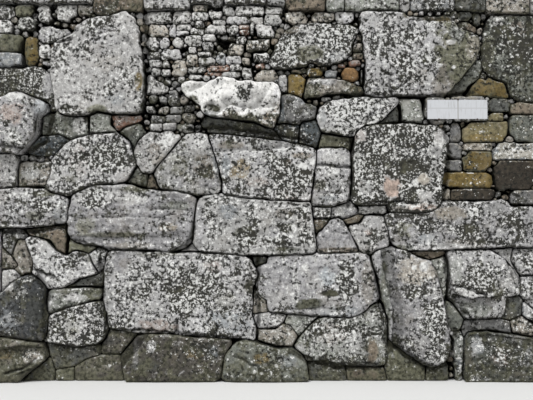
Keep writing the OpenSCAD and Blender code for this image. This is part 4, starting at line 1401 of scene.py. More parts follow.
@dataclass
class Masonry:
    """A sub-assembly of stones. Each block becomes one weathered piece, in place of its node.

    slot is the finish of a block that stands for no node.
    """

    mason: Mason = field(default_factory=lambda: Mason(Facing.FRONT))
    blocks: tuple[Block, ...] = ()
    stones: dict[str, list[Stone]] = field(default_factory=dict)
    slot: str = "packing_stone"

    def survey(self, frame: dict, bonds: dict[Facing, Bond]) -> None:
        """Reads the stones of each block's node into the side of the wall that they belong to.

        Args:
            bonds: the sides of the wall.
        """
        self.mason.bond = bonds[self.mason.facing]
        for block in self.blocks:
            self.stones[block.node] = stones_of(frame["nodes"][block.node], self.mason.facing)
            self.mason.bond.stones += self.stones[block.node]

    def look_of(self, block: Block, stone: Stone) -> Look:
        """Chooses the look whose place is nearest to a stone, or one of its block's looks by chance.

        Args:
            block: the stone's block.
            stone: the stone.

        Returns:
            Its look.
        """
        apart = {look: stone.distance(places) for look, places in block.spots.items()}
        nearest = min(apart, key=apart.get, default=None)
        if nearest is not None and apart[nearest] < NEAR:
            return nearest
        looks = (block.look, *block.others)
        return looks[stone.chance.integers(len(looks))]

    def carve(self, block: Block) -> bpy.types.Object:
        """Makes a block's piece: every stone of it, weathered."""
        shells = [self.mason.shell(block, self.look_of(block, s), s) for s in self.stones[block.node]]
        return mesh_from(f"{block.node}_stone", shells)

    def build(self, frame: dict, materials: dict[str, bpy.types.Material]) -> None:
        """Makes and dresses a piece for each block, and reports it.

        Args:
            materials: the finishes' materials by slot.
        """
        slots = {row["node"]: row["material_slot"] for row in frame["record"]["subparts"]}
        for block in self.blocks:
            slot, piece = slots.get(block.node, self.slot), self.carve(block)
            piece.data.materials.append(materials[slot])
            if block.node in slots:
                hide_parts(block.node)
            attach(piece, "root")
            count = len(self.stones[block.node])
            LOG.info("%s: %d stones, %d faces", piece.name, count, len(piece.data.polygons))


@dataclass
class Footing(Masonry):
    """The stones that stand on the ground: boulders and small stones, damp and green."""

    blocks: tuple[Block, ...] = (
        Block("foot_boulder", Look(WARM, 10, 30, 45, 60), ROUNDED, (
            Ledge(((-258, 30), (-225, 27), (-200, 31), (-184, 30)), 2.5, 8),
            Ledge(((-200, 10), (-188, 15), (-181, 22)), 2.5, 9),
            Crack(((-215, 8), (-200, 12), (-190, 20)), 1.2, 1.8),
        ), (
            Patch(-193, 23, 9, 7, WARM, 45, 20, 0), Patch(-215, 23, 10, 4, OCHRE, 0, 10, 30, 70, 80),
            Patch(-212, 10, 12, 6, GREEN, 10, 30, 50, 80, 60), Patch(-190, 12, 7, 5, DARK, 30, 50, 50, 80),
        )),
        Block("foot_wedge", Look(WARM, 10, 30, 25, 28), Wear(facets=3, arris=0.034), (
            Ledge(((-98, 39), (-106, 27), (-117, 14)), 3.2, 14),
        ), (
            Patch(-108, 24, 2.5, 13, PALE, 20, 10, 10, 60, 90), Patch(-95, 30, 4, 6, None, 90, 30, 0),
            Patch(-60, 24, 9, 5, OCHRE, 10, 20, 30, 50, 70), Patch(-100, 14, 12, 5, DARK, 0, 30, 30, 80),
            Patch(-45, 25, 6, 7, BLUE, 10, 30, 20, 60, 80),
        )),
        Block("foot_round", Look(GREEN, 25, 30, 30, 85), ROUNDED, (
            Crack(((-26, 22), (-14, 16), (-4, 10)), 1, 1.2),
        ), (
            Patch(-3, 20, 8, 5, OCHRE, 25, 20, 10, 80, 90), Patch(8, 14, 8, 6, OLIVE, 10, 20, 50, 70),
            Patch(18, 18, 8, 8, COOL, 30, 20, 20, 70, 90),
        )),
        Block("foot_right", Look(GREEN, 20, 40, 30, 30), Wear(bedding=0.006), (
            Ledge(((166, 38), (185, 40), (222, 36), (258, 34)), 1.4, 9),
        ), (
            Patch(175, 31, 5, 8, COOL, 60, 10, 0, 90, 80), Patch(196, 22, 9, 7, PINK, 70, 30, 0, 60, 60),
            Patch(215, 20, 9, 8, COOL, 50, 40, 0, 70, 60),
        )),
        Block("foot_stones", Look(BROWN, 5, 30, 40, 80), Wear(
            wobble=0.006, corner=0.014, arris=0.019, swell=0.01, facets=3, chips=4,
        ), patches=(
            # Painted shade: the dark patches lie on the foot stones' tops, under the blocks that overhang
            # them
            Patch(-150, 33, 26, 7, DARK, 0, 30, 20, 80, 60),
            Patch(-140, 12, 14, 5, WARM, 20, 20, 30, 60, 60), Patch(122, 34, 14, 9, DARK, 0, 30, 20, 80, 60),
            Patch(60, 15, 32, 4, DARK, 0, 20, 30, 70, 60),
        ), spots={
            SPECKLED: ((161, 21),), MOSSY: ((116, 17), (-168, 6)), SHADED: ((-161, 21), (51, 9)),
        }, others=(Look(DARK, 5, 30, 40), Look(WARM, 10, 30, 40, 40))),
    )


@dataclass
class FirstCourse(Masonry):
    """The lowest course: the great block, its neighbours and what packs them."""

    blocks: tuple[Block, ...] = (
        Block("left_boulder", Look(COOL, 10, 40, 20, 24), ROUNDED, patches=(
            Patch(-212, 50, 9, 10, COOL, 35, 40, 0, 90, 75),
            Patch(-205, 74, 7, 6, DARK, 60, 60, 10, 70, 120),
            Patch(-192, 60, 7, 14, DARK, 0, 30, 20, 80, 70), Patch(-213, 80, 5, 5, PALE, 40, 20, 0, 80, 60),
        )),
        Block("stepped_block", Look(LILAC, 80, 35, 5, 130), Wear(facets=3), (
            Crack(((-197, 94), (-187, 90), (-176, 86)), 1.2, 2.6),
            Ledge(((-142, 100), (-156, 98), (-166, 104), (-170, 112)), 1.5, 9),
        ), (
            Patch(-186, 111, 8, 6, PALE, 30, 5, 0, 90, 120), Patch(-165, 115, 9, 5, OLIVE, 10, 20, 50, 80),
            Patch(-160, 100, 10, 7, None, 90, 80, 0), Patch(-184, 84, 8, 4, PALE, 30, 10, 0, 80, 115),
        )),
        Block("waist_slab", Look(GREEN, 30, 25, 20, 66), Wear(arris=0.034, facets=2), (
            Ledge(((-183, 75), (-165, 76), (-140, 74)), 0.8, 6),
        ), (
            Patch(-181, 66, 3, 9, PALE, 40, 0, 0, 80, 60), Patch(-160, 70, 7, 4, PALE, 40, 10, 0, 80, 110),
            Patch(-144, 72, 6, 6, OLIVE, 10, 20, 40, 70),
        )),
        Block("mottled_block", Look(GREY, 65, 60, 10, 130), patches=(
            Patch(-146, 37, 12, 7, None, 100, 90, 0), Patch(-160, 44, 8, 7, OLIVE, 50, 40, 30, 60, 130),
            Patch(-150, 56, 9, 5, PALE, 80, 50, 0, 70),
        )),
        Block("great_block", Look(LILAC, 60, 50, 5, 118), Wear(swell=0.015, facets=3, arris=0.019), (
            Crack(((-74, 36), (-75, 43), (-73.5, 51)), 1, 2),
            Crack(((-41, 34), (-41.5, 40), (-41, 47)), 1.1, 2.4),
            Crack(((-49, 58), (-47.5, 66), (-49, 73)), 0.9, 1), Hollow(-76, 77, 14, 4, 0.8),
            Hollow(-14, 79, 4, 7, 0.9),
        ), (
            Patch(-121, 100, 8, 9, LILAC, 5, 5, 0, 100, 105),
            Patch(-131, 80, 5, 22, GREY, 25, 20, 5, 80, 110),
            Patch(-66, 78, 20, 19, GREY, 100, 95, 0, 100, 115),
            Patch(-105, 80, 13, 14, GREY, 80, 70, 0, 80, 115),
            Patch(-90, 46, 17, 6, PINK, 30, 35, 0, 70, 80),
            Patch(-30, 50, 19, 10, COOL, 30, 35, 10, 90, 115),
            Patch(-35, 68, 10, 7, OLIVE, 40, 50, 30, 50, 120),
            Patch(-14, 79, 4.5, 7, OLIVE, 10, 80, 50, 70, 80),
            Patch(-76, 76.5, 12, 3, DARK, 30, 100, 30, 90), Patch(-45, 96, 8, 6, PINK, 30, 20, 0, 50, 70),
            Patch(-58, 84, 6, 5, WHITE, 100, 40, 0, 50), Patch(-96, 62, 9, 5, PALE, 100, 40, 0, 60),
            Patch(-90, 106, 22, 3, OLIVE, 20, 30, 40, 60),
        )),
        Block("middle_block", Look(LILAC, 30, 25, 5, 108), Wear(swell=0.015, arris=0.034), (
            Ledge(((-4, 60), (20, 60.5), (45, 62), (60, 60)), 1, 6),
            Crack(((18, 93), (22, 82), (27, 67)), 0.9, 0.7), Hollow(52, 72, 7, 3, 0.8),
            Hollow(48, 93, 9, 1.5, 0.8),
        ), (
            Patch(6, 88, 14, 12, LILAC, 15, 5, 0, 90, 108), Patch(10, 68, 13, 8, PALE, 10, 8, 0, 80, 98),
            Patch(32, 95, 3, 3, WHITE, 100, 0, 0, 100, 105), Patch(50, 87, 9, 8, COOL, 20, 0, 0, 100, 150),
            Patch(38, 84, 8, 8, PALE, 20, 10, 0, 80, 105), Patch(36, 64, 13, 5, GREEN, 10, 30, 60, 90, 60),
            Patch(24, 78, 3.5, 13, None, 100, 70, 0, 90), Patch(54, 73, 9, 3, OLIVE, 20, 80, 60, 90, 50),
            Patch(68, 82, 10, 18, GREY, 80, 80, 0, 90), Patch(62, 58, 18, 5, COOL, 50, 30, 10, 80),
            Patch(84, 82, 6, 20, WARM, 30, 40, 30, 70, 70),
        )),
        Block("nosed_block", Look(GREEN, 50, 50, 15, 85), Wear(swell=0.012), (
            Crack(((97, 38), (88, 38.5), (81, 37)), 0.9, 1.4), Ledge(((81, 37), (84, 28), (88, 14)), 1.6, 8),
            Crack(((82, 59), (90, 60), (97, 64)), 0.8, 1),
        ), (
            Patch(88.5, 25, 5, 12, BROWN, 0, 5, 10, 100, 125), Patch(55, 40, 14, 9, PINK, 90, 60, 0, 50, 80),
            Patch(26, 28, 5, 4, PALE, 40, 10, 0, 80), Patch(74, 34, 6, 12, PALE, 90, 50, 0, 70),
            Patch(88, 57, 9, 7, OLIVE, 50, 50, 30, 60, 120),
        )),
        Block("leaning_block", Look(LILAC, 35, 40, 5, 85), Wear(swell=0.012, arris=0.042), (
            Ledge(((104, 34), (104, 62), (98, 88), (95, 108)), 3, 12),
            Crack(((137, 96), (142, 86), (145, 78)), 1, 1.6),
        ), (
            Patch(98, 68, 5, 36, GREEN, 10, 15, 25, 95, 72),
            Patch(124, 92, 16, 12, WARM, 15, 15, 0, 85, 115),
            Patch(130, 96, 4, 4, WHITE, 100, 0, 0, 100, 105), Patch(122, 95, 2, 2, WHITE, 100, 0, 0),
            Patch(102, 87, 2.5, 3, WHITE, 90, 0, 0), Patch(115, 60, 9, 12, LILAC, 20, 10, 0, 90, 105),
            Patch(140, 50, 9, 26, GREY, 100, 95, 0, 90), Patch(127, 32, 8, 8, PALE, 30, 20, 0, 90, 105),
            Patch(140, 22, 10, 7, PALE, 100, 60, 0, 80), Patch(130, 75, 9, 4, DARK, 80, 90, 10, 60, 200),
        )),
        Block("ledge_block", Look(LILAC, 60, 50, 5), Wear(swell=0.012, arris=0.034), (
            Crack(((152, 80), (162, 79), (173, 74), (181, 72)), 1, 2),
            Ledge(((151, 71), (160, 71.5), (170, 69), (181, 70)), 2.6, 12),
            Ledge(((162, 68), (163, 60), (168, 51)), 2, 9),
            Crack(((199, 104), (203, 92), (208, 78)), 1.1, 1.4),
        ), (
            Patch(157, 92, 6, 14, GREEN, 50, 10, 0, 80, 135),
            # Painted light and shade: the pale strip is brightened as the lit top of the ledge, with white
            # lichen; the grey-green and dark patches below it are darkened partly as its shade
            Patch(165, 75, 13, 3.5, PALE, 90, 10, 0, 100, 180),
            Patch(174, 61, 13, 8, GREEN, 30, 20, 10, 90, 95), Patch(155, 60, 6, 9, DARK, 0, 30, 30, 90, 150),
            Patch(180, 86, 14, 12, None, 90, 90, 0, 90), Patch(192, 76, 5, 10, OLIVE, 30, 40, 40, 60),
            Patch(204, 86, 5, 14, PALE, 60, 20, 0, 80),
        )),
        Block("edge_blocks", Look(LILAC, 60, 50, 10, 95), spots={
            CLEAN: ((-240, 99), (-234, 175)), SPECKLED: ((236, 50),),
        }),
        Block("lower_packing", Look(GREY, 30, 40, 20, 85), PACKED, spots={
            CLEAN: ((-214, 83),), MAUVE: ((3, 50), (199, 97), (-141, 101)), DULL: ((183, 44),),
            GREENISH: ((29, 47), (145, 85)), DAMP: ((156, 54),), MOSSY: ((-154, 112),),
            TAWNY: ((9, 38), (214, 45), (-5, 67)), SOILED: ((134, 105), (-185, 118)),
            SHADED: ((205, 61), (-152, 86), (-6, 100)),
        }, others=(Look(WARM, 20, 30, 30, 70),)),
    )


@dataclass
class SecondCourse(Masonry):
    """The long blocks above the great block, and what packs them."""

    blocks: tuple[Block, ...] = (
        Block("left_bed_block", Look(LILAC, 45, 40, 10, 88), Wear(facets=3, bedding=0.003), (
            Ledge(((-166, 131), (-190, 129), (-222, 130)), 1.2, 5),
        ), (
            Patch(-207, 155, 12, 3, PALE, 60, 20, 0, 80, 110), Patch(-185, 145, 9, 5, None, 90, 90, 0),
            Patch(-193, 138, 9, 4, OLIVE, 20, 60, 30, 70), Patch(-172, 140, 6, 12, COOL, 40, 30, 5, 70, 90),
            Patch(-186, 156, 10, 3, OLIVE, 10, 30, 50, 80),
        )),
        Block("banded_block", Look(LILAC, 20, 25, 12, 82), Wear(
            swell=0.014, facets=3, bedding=0.016, arris=0.03,
        ), (
            Crack(((-143, 138), (-130, 136), (-104, 137.5), (-95, 136), (-76, 138.5)), 0.8, 1),
            Crack(((-96, 143), (-80, 143.5), (-62, 142)), 1.2, 0.9),
            Ledge(((-165, 122), (-140, 121), (-110, 121.5), (-60, 121)), 1.2, 7),
            Crack(((-118, 128), (-114, 123), (-110, 116)), 0.9, 1.2),
        ), (
            Patch(-140, 154, 24, 7, PALE, 70, 45, 0, 90, 105),
            Patch(-112, 151, 12, 5, PALE, 60, 5, 0, 90, 130), Patch(-145, 147, 10, 4, None, 90, 90, 0, 90),
            Patch(-151, 130, 9, 7, OLIVE, 10, 20, 45, 60, 130),
            Patch(-130, 122, 30, 2.5, OLIVE, 10, 30, 50, 60, 120),
            Patch(-88, 116, 14, 5, LILAC, 30, 10, 0, 80, 110),
            Patch(-82, 128, 8, 3.5, OCHRE, 70, 40, 0, 50, 90), Patch(-113, 113, 18, 3, WARM, 20, 30, 20, 60),
            Patch(-76, 146, 14, 4, GREEN, 10, 20, 30, 70, 85),
            Patch(-108, 160, 14, 3, OLIVE, 10, 30, 40, 80),
        )),
        Block("middle_bed_block", Look(GREY, 55, 35, 5, 125), Wear(facets=3), (
            Hollow(-16, 126, 6, 6, 0.8), Hollow(15, 127, 5, 3, 0.6), Hollow(14, 138, 6, 4, 0.6),
        ), (
            Patch(-32, 141, 9, 7, COOL, 10, 10, 0, 90, 112),
            Patch(-55, 132, 6, 18, LILAC, 20, 20, 0, 80, 105),
            Patch(-17, 123, 9, 8, OLIVE, 50, 90, 30, 80, 110), Patch(-16, 116, 8, 4, BROWN, 100, 90, 10, 80),
            Patch(17, 127, 8, 4, OLIVE, 50, 90, 30, 80), Patch(15, 139, 9, 5, BROWN, 50, 70, 20, 80, 80),
            Patch(30, 132, 6, 14, BROWN, 70, 80, 10, 70), Patch(23, 127, 2.5, 3, WHITE, 100, 0, 0, 100, 95),
            Patch(-8, 138, 9, 5, PALE, 80, 50, 0, 80, 110), Patch(10, 117, 16, 6, None, 90, 80, 0, 90),
            Patch(15, 109, 14, 3, GREEN, 20, 40, 40, 80, 70), Patch(6, 124, 5, 5, LILAC, 40, 20, 0, 90, 105),
        )),
        Block("pointed_block", Look(LILAC, 15, 10, 5, 95), Wear(swell=0.007, facets=3, arris=0.019), (
            Crack(((52, 124), (60, 123.5), (67, 122)), 0.8, 0.9),
            Ledge(((43, 111), (60, 110), (76, 110)), 1.2, 4),
        ), (Patch(60, 109, 18, 2.5, BROWN, 30, 50, 20, 80, 130),)),
        Block("shoulder_block", Look(PALE, 45, 40, 5, 82), patches=(
            Patch(89, 131, 6, 3.5, LILAC, 50, 10, 0, 90, 125), Patch(85, 124, 4, 2.5, RED, 50, 30, 0, 50),
            Patch(85, 116, 5, 3, DARK, 90, 70, 10, 70, 200), Patch(97, 114, 5, 5, LILAC, 20, 10, 0, 80),
        )),
        Block("long_right_block", Look(LILAC, 40, 45, 8, 80), Wear(bedding=0.003), (
            Crack(((183, 118), (190, 123), (195, 131), (197, 138)), 1, 1.2),
            Ledge(((103, 114), (108, 123), (114, 130)), 0.9, 8), Hollow(168, 128, 8, 4, 0.8),
        ), (
            Patch(116, 126, 9, 8, OLIVE, 30, 60, 35, 80), Patch(121, 125, 3.5, 4, LILAC, 10, 10, 0, 90),
            Patch(133, 118, 8, 5, COOL, 60, 30, 0, 90, 130), Patch(135, 128, 8, 6, None, 70, 95, 0, 90),
            Patch(153, 140, 14, 6, WARM, 10, 10, 0, 90), Patch(169, 127, 9, 4.5, OLIVE, 30, 90, 40, 90, 80),
            Patch(172, 140, 5, 4, WHITE, 100, 20, 0, 80), Patch(158, 126, 8, 5, None, 100, 90, 0, 80),
            Patch(113, 111, 10, 2.5, GREEN, 10, 20, 50, 90, 90),
            Patch(165, 115, 17, 5, WARM, 20, 30, 20, 60, 80), Patch(190, 144, 9, 5, GREY, 10, 10, 0, 80, 95),
            Patch(212, 132, 12, 9, LILAC, 30, 70, 5, 80, 90), Patch(150, 112, 25, 3, PALE, 50, 20, 0, 70),
        )),
        Block("middle_packing", Look(GREY, 30, 40, 20, 80), PACKED, patches=(
            Patch(-157, 214, 6, 7, PALE, 80, 20, 0, 90, 120),
            Patch(-198, 174, 8, 6, COOL, 50, 20, 10, 60, 110),
        ), spots={
            LICHENED: ((89, 142),), CLEAN: ((-65, 110),), MAUVE: ((66, 142), (47, 140)),
            SLATY: ((-185, 197), (37, 207), (18, 207)), GREENISH: ((-138, 216),),
            DAMP: ((-108, 170), (-112, 203), (-170, 214)), MOSSY: ((59, 199),), TAWNY: ((-195, 172),),
            SOILED: ((46, 128), (73, 134), (-96, 166)), SHADED: ((-21, 211),), REDDISH: ((-118, 216),),
        }, others=(Look(WARM, 20, 30, 30, 70),)),
    )


@dataclass
class ThirdCourse(Masonry):
    """The blocks at half height, the square block and the small squared stones at the right."""

    blocks: tuple[Block, ...] = (
        Block("round_block", Look(LILAC, 70, 60, 5, 112), Wear(
            swell=0.016, facets=5, arris=0.042, corner=0.03,
        ), (Hollow(-149, 185, 5, 4, 0.9), Ledge(((-180, 170), (-173, 178), (-170, 186)), 1, 7)), (
            Patch(-133, 186, 18, 12, GREY, 100, 100, 5, 90),
            Patch(-157, 184, 9, 14, PINK, 50, 50, 0, 45, 80),
            Patch(-166, 198, 7, 7, PALE, 80, 30, 0, 80, 120),
            Patch(-178, 168, 6, 5, PALE, 80, 30, 0, 80, 120), Patch(-163, 168, 7, 4, OLIVE, 30, 50, 40, 70),
            Patch(-122, 170, 10, 5, PALE, 30, 20, 0, 80), Patch(-146, 203, 12, 3, PALE, 50, 20, 0, 80, 110),
        )),
        Block("slanted_block", Look(PALE, 35, 30, 5, 93), Wear(swell=0.012, arris=0.034), (
            Ledge(((-90, 205), (-91, 198), (-84, 193)), 0.9, 6),
        ), (
            Patch(-82, 199, 8, 7, WHITE, 100, 5, 0, 95), Patch(-94, 193, 6, 5, BROWN, 20, 50, 20, 60, 120),
            Patch(-90, 184, 9, 5, WARM, 30, 30, 10, 60),
        )),
        Block("narrow_block", Look(GREY, 40, 40, 20, 120), Wear(), (Hollow(-55, 180, 6, 6, 0.6),), (
            Patch(-56, 199, 8, 6, PALE, 90, 50, 0, 90, 115),
            Patch(-54, 178, 8, 10, BROWN, 40, 60, 40, 75, 110),
            Patch(-47, 172, 4, 10, OCHRE, 20, 30, 40, 50, 80),
            Patch(-50, 165, 11, 4, LILAC, 10, 10, 0, 90, 105),
            Patch(-72, 166, 5, 5, LILAC, 30, 10, 0, 90, 110),
            Patch(-74, 180, 8, 9, OLIVE, 30, 40, 35, 60, 140),
            Patch(-42, 182, 3, 12, COOL, 30, 10, 0, 80, 120),
        )),
        Block("broad_block", Look(LILAC, 60, 50, 5, 120), Wear(), (
            Ledge(((41, 194), (20, 195), (4, 192), (-38, 191)), 1.8, 9),
            Crack(((-8, 158), (-5, 154), (-3, 150)), 1.1, 1.6), Hollow(20, 172, 8, 5, 0.8),
            Hollow(17, 182, 4, 3, 0.6),
        ), (
            Patch(-22, 176, 9, 9, OCHRE, 30, 30, 10, 70, 110), Patch(-8, 166, 10, 5, ORANGE, 50, 30, 0, 35),
            Patch(-34, 180, 4, 12, COOL, 20, 10, 0, 95, 120),
            Patch(23, 168, 17, 13, GREY, 95, 95, 5, 95, 110),
            Patch(17, 182, 4, 3.5, BROWN, 10, 70, 20, 90, 80),
            Patch(32, 174, 5, 3, BROWN, 10, 80, 20, 80, 70),
            Patch(30, 179, 4.5, 3, WHITE, 100, 0, 0, 100, 108),
            Patch(38, 183, 2.5, 3, WHITE, 100, 0, 0, 100, 105), Patch(18, 155, 9, 4, PINK, 100, 40, 0, 70),
            Patch(-30, 197, 12, 4, WARM, 10, 20, 20, 90, 85), Patch(0, 198, 16, 4, GREY, 50, 30, 10, 80, 85),
            Patch(30, 188, 10, 3, BROWN, 10, 40, 20, 80, 120), Patch(-14, 196, 2, 2, WHITE, 100, 0, 0, 90),
            Patch(14, 194, 2, 2, WHITE, 100, 0, 0, 90),
        )),
        Block("cracked_block", Look(LILAC, 50, 30, 5, 105), Wear(swell=0.012, facets=3), (
            Crack(((40, 180), (52, 179.5), (60, 178.5), (73, 178)), 1.1, 2.2),
            Crack(((44, 157), (56, 157.5), (70, 156)), 0.9, 0.8),
        ), (
            Patch(56, 186, 12, 5, PALE, 60, 30, 0, 90, 110), Patch(56, 175, 6, 4, PALE, 80, 20, 0, 90, 115),
            Patch(44, 163, 5, 6, OLIVE, 30, 80, 30, 80, 80), Patch(60, 165, 9, 7, GREY, 30, 40, 10, 80, 95),
            Patch(66, 174, 4, 5, LILAC, 30, 20, 0, 80, 95), Patch(50, 152, 12, 3, COOL, 30, 10, 5, 80, 115),
        )),
        Block("square_block", Look(GREY, 85, 85, 10, 113), Wear(facets=3, arris=0.027), (
            Crack(((71, 146), (86, 148), (100, 148.5), (112, 149.5), (124, 147)), 1.1, 2),
            Crack(((102, 141), (102.5, 145), (100, 149)), 1.2, 2.4),
            Ledge(((103, 172), (114, 168), (113, 158), (104, 152)), 0.8, 6), Hollow(119, 180, 10, 7, 0.9),
            Hollow(96, 186, 7, 5, 0.6),
        ), (
            Patch(105, 161, 7.5, 9.5, PINK, 5, 0, 0, 100, 105),
            Patch(124, 165, 2.5, 4, WHITE, 100, 0, 0, 100, 108),
            Patch(131, 168, 6, 5, WARM, 10, 5, 0, 100, 110), Patch(131, 154, 8, 5, PALE, 40, 5, 0, 90, 115),
            Patch(119, 179, 12, 7, OLIVE, 35, 100, 30, 95, 80),
            Patch(97, 184, 9, 7, BROWN, 70, 100, 30, 80, 70),
            Patch(145, 202, 6, 9, PALE, 30, 0, 0, 100, 120), Patch(78, 205, 7, 6, PINK, 60, 30, 0, 70, 90),
            Patch(76, 180, 3.5, 12, GREEN, 70, 20, 0, 90, 130),
            Patch(83, 162, 7, 11, GREY, 70, 40, 5, 90, 110), Patch(99, 195, 9, 5, PINK, 80, 40, 0, 60, 90),
            Patch(126, 196, 12, 9, None, 100, 95, 5, 90), Patch(141, 176, 7, 7, GREY, 60, 50, 5, 80, 115),
            Patch(128, 145, 14, 3.5, PINK, 30, 10, 0, 80, 95),
            Patch(141, 191, 6, 5, GREY, 20, 30, 5, 80, 90), Patch(110, 143, 8, 3, WARM, 40, 30, 10, 80, 90),
            Patch(88, 144, 9, 3, PALE, 90, 50, 0, 80),
        )),
        Block("right_packing", Look(GREY, 30, 30, 15, 80), Wear(
            wobble=0.004, corner=0.012, arris=0.014, swell=0.005, facets=2, chips=3,
        ), patches=(
            Patch(213, 190, 16, 3, WHITE, 90, 30, 0, 60), Patch(184, 203, 17, 3.5, OCHRE, 0, 10, 30, 70, 85),
        ), spots={
            DULL: ((220, 153), (158, 180), (158, 192), (159, 208), (142, 226)),
            SPECKLED: ((247, 153), (213, 192)), SLATY: ((247, 211),), GREENISH: ((247, 192),),
            DAMP: ((220, 211),), TAWNY: ((151, 155), (178, 195)), SOILED: ((217, 227),),
            SHADE_IN_RECESS: ((172, 155), (209, 172), (242, 172)), SHADED: ((196, 230),),
            IRON_STAINED: ((169, 168),), RUSTY: ((177, 183), (243, 227)),
            Look(SAND, 10, 5, 15, 68): ((184, 208), (194, 221)),
        }),
    )


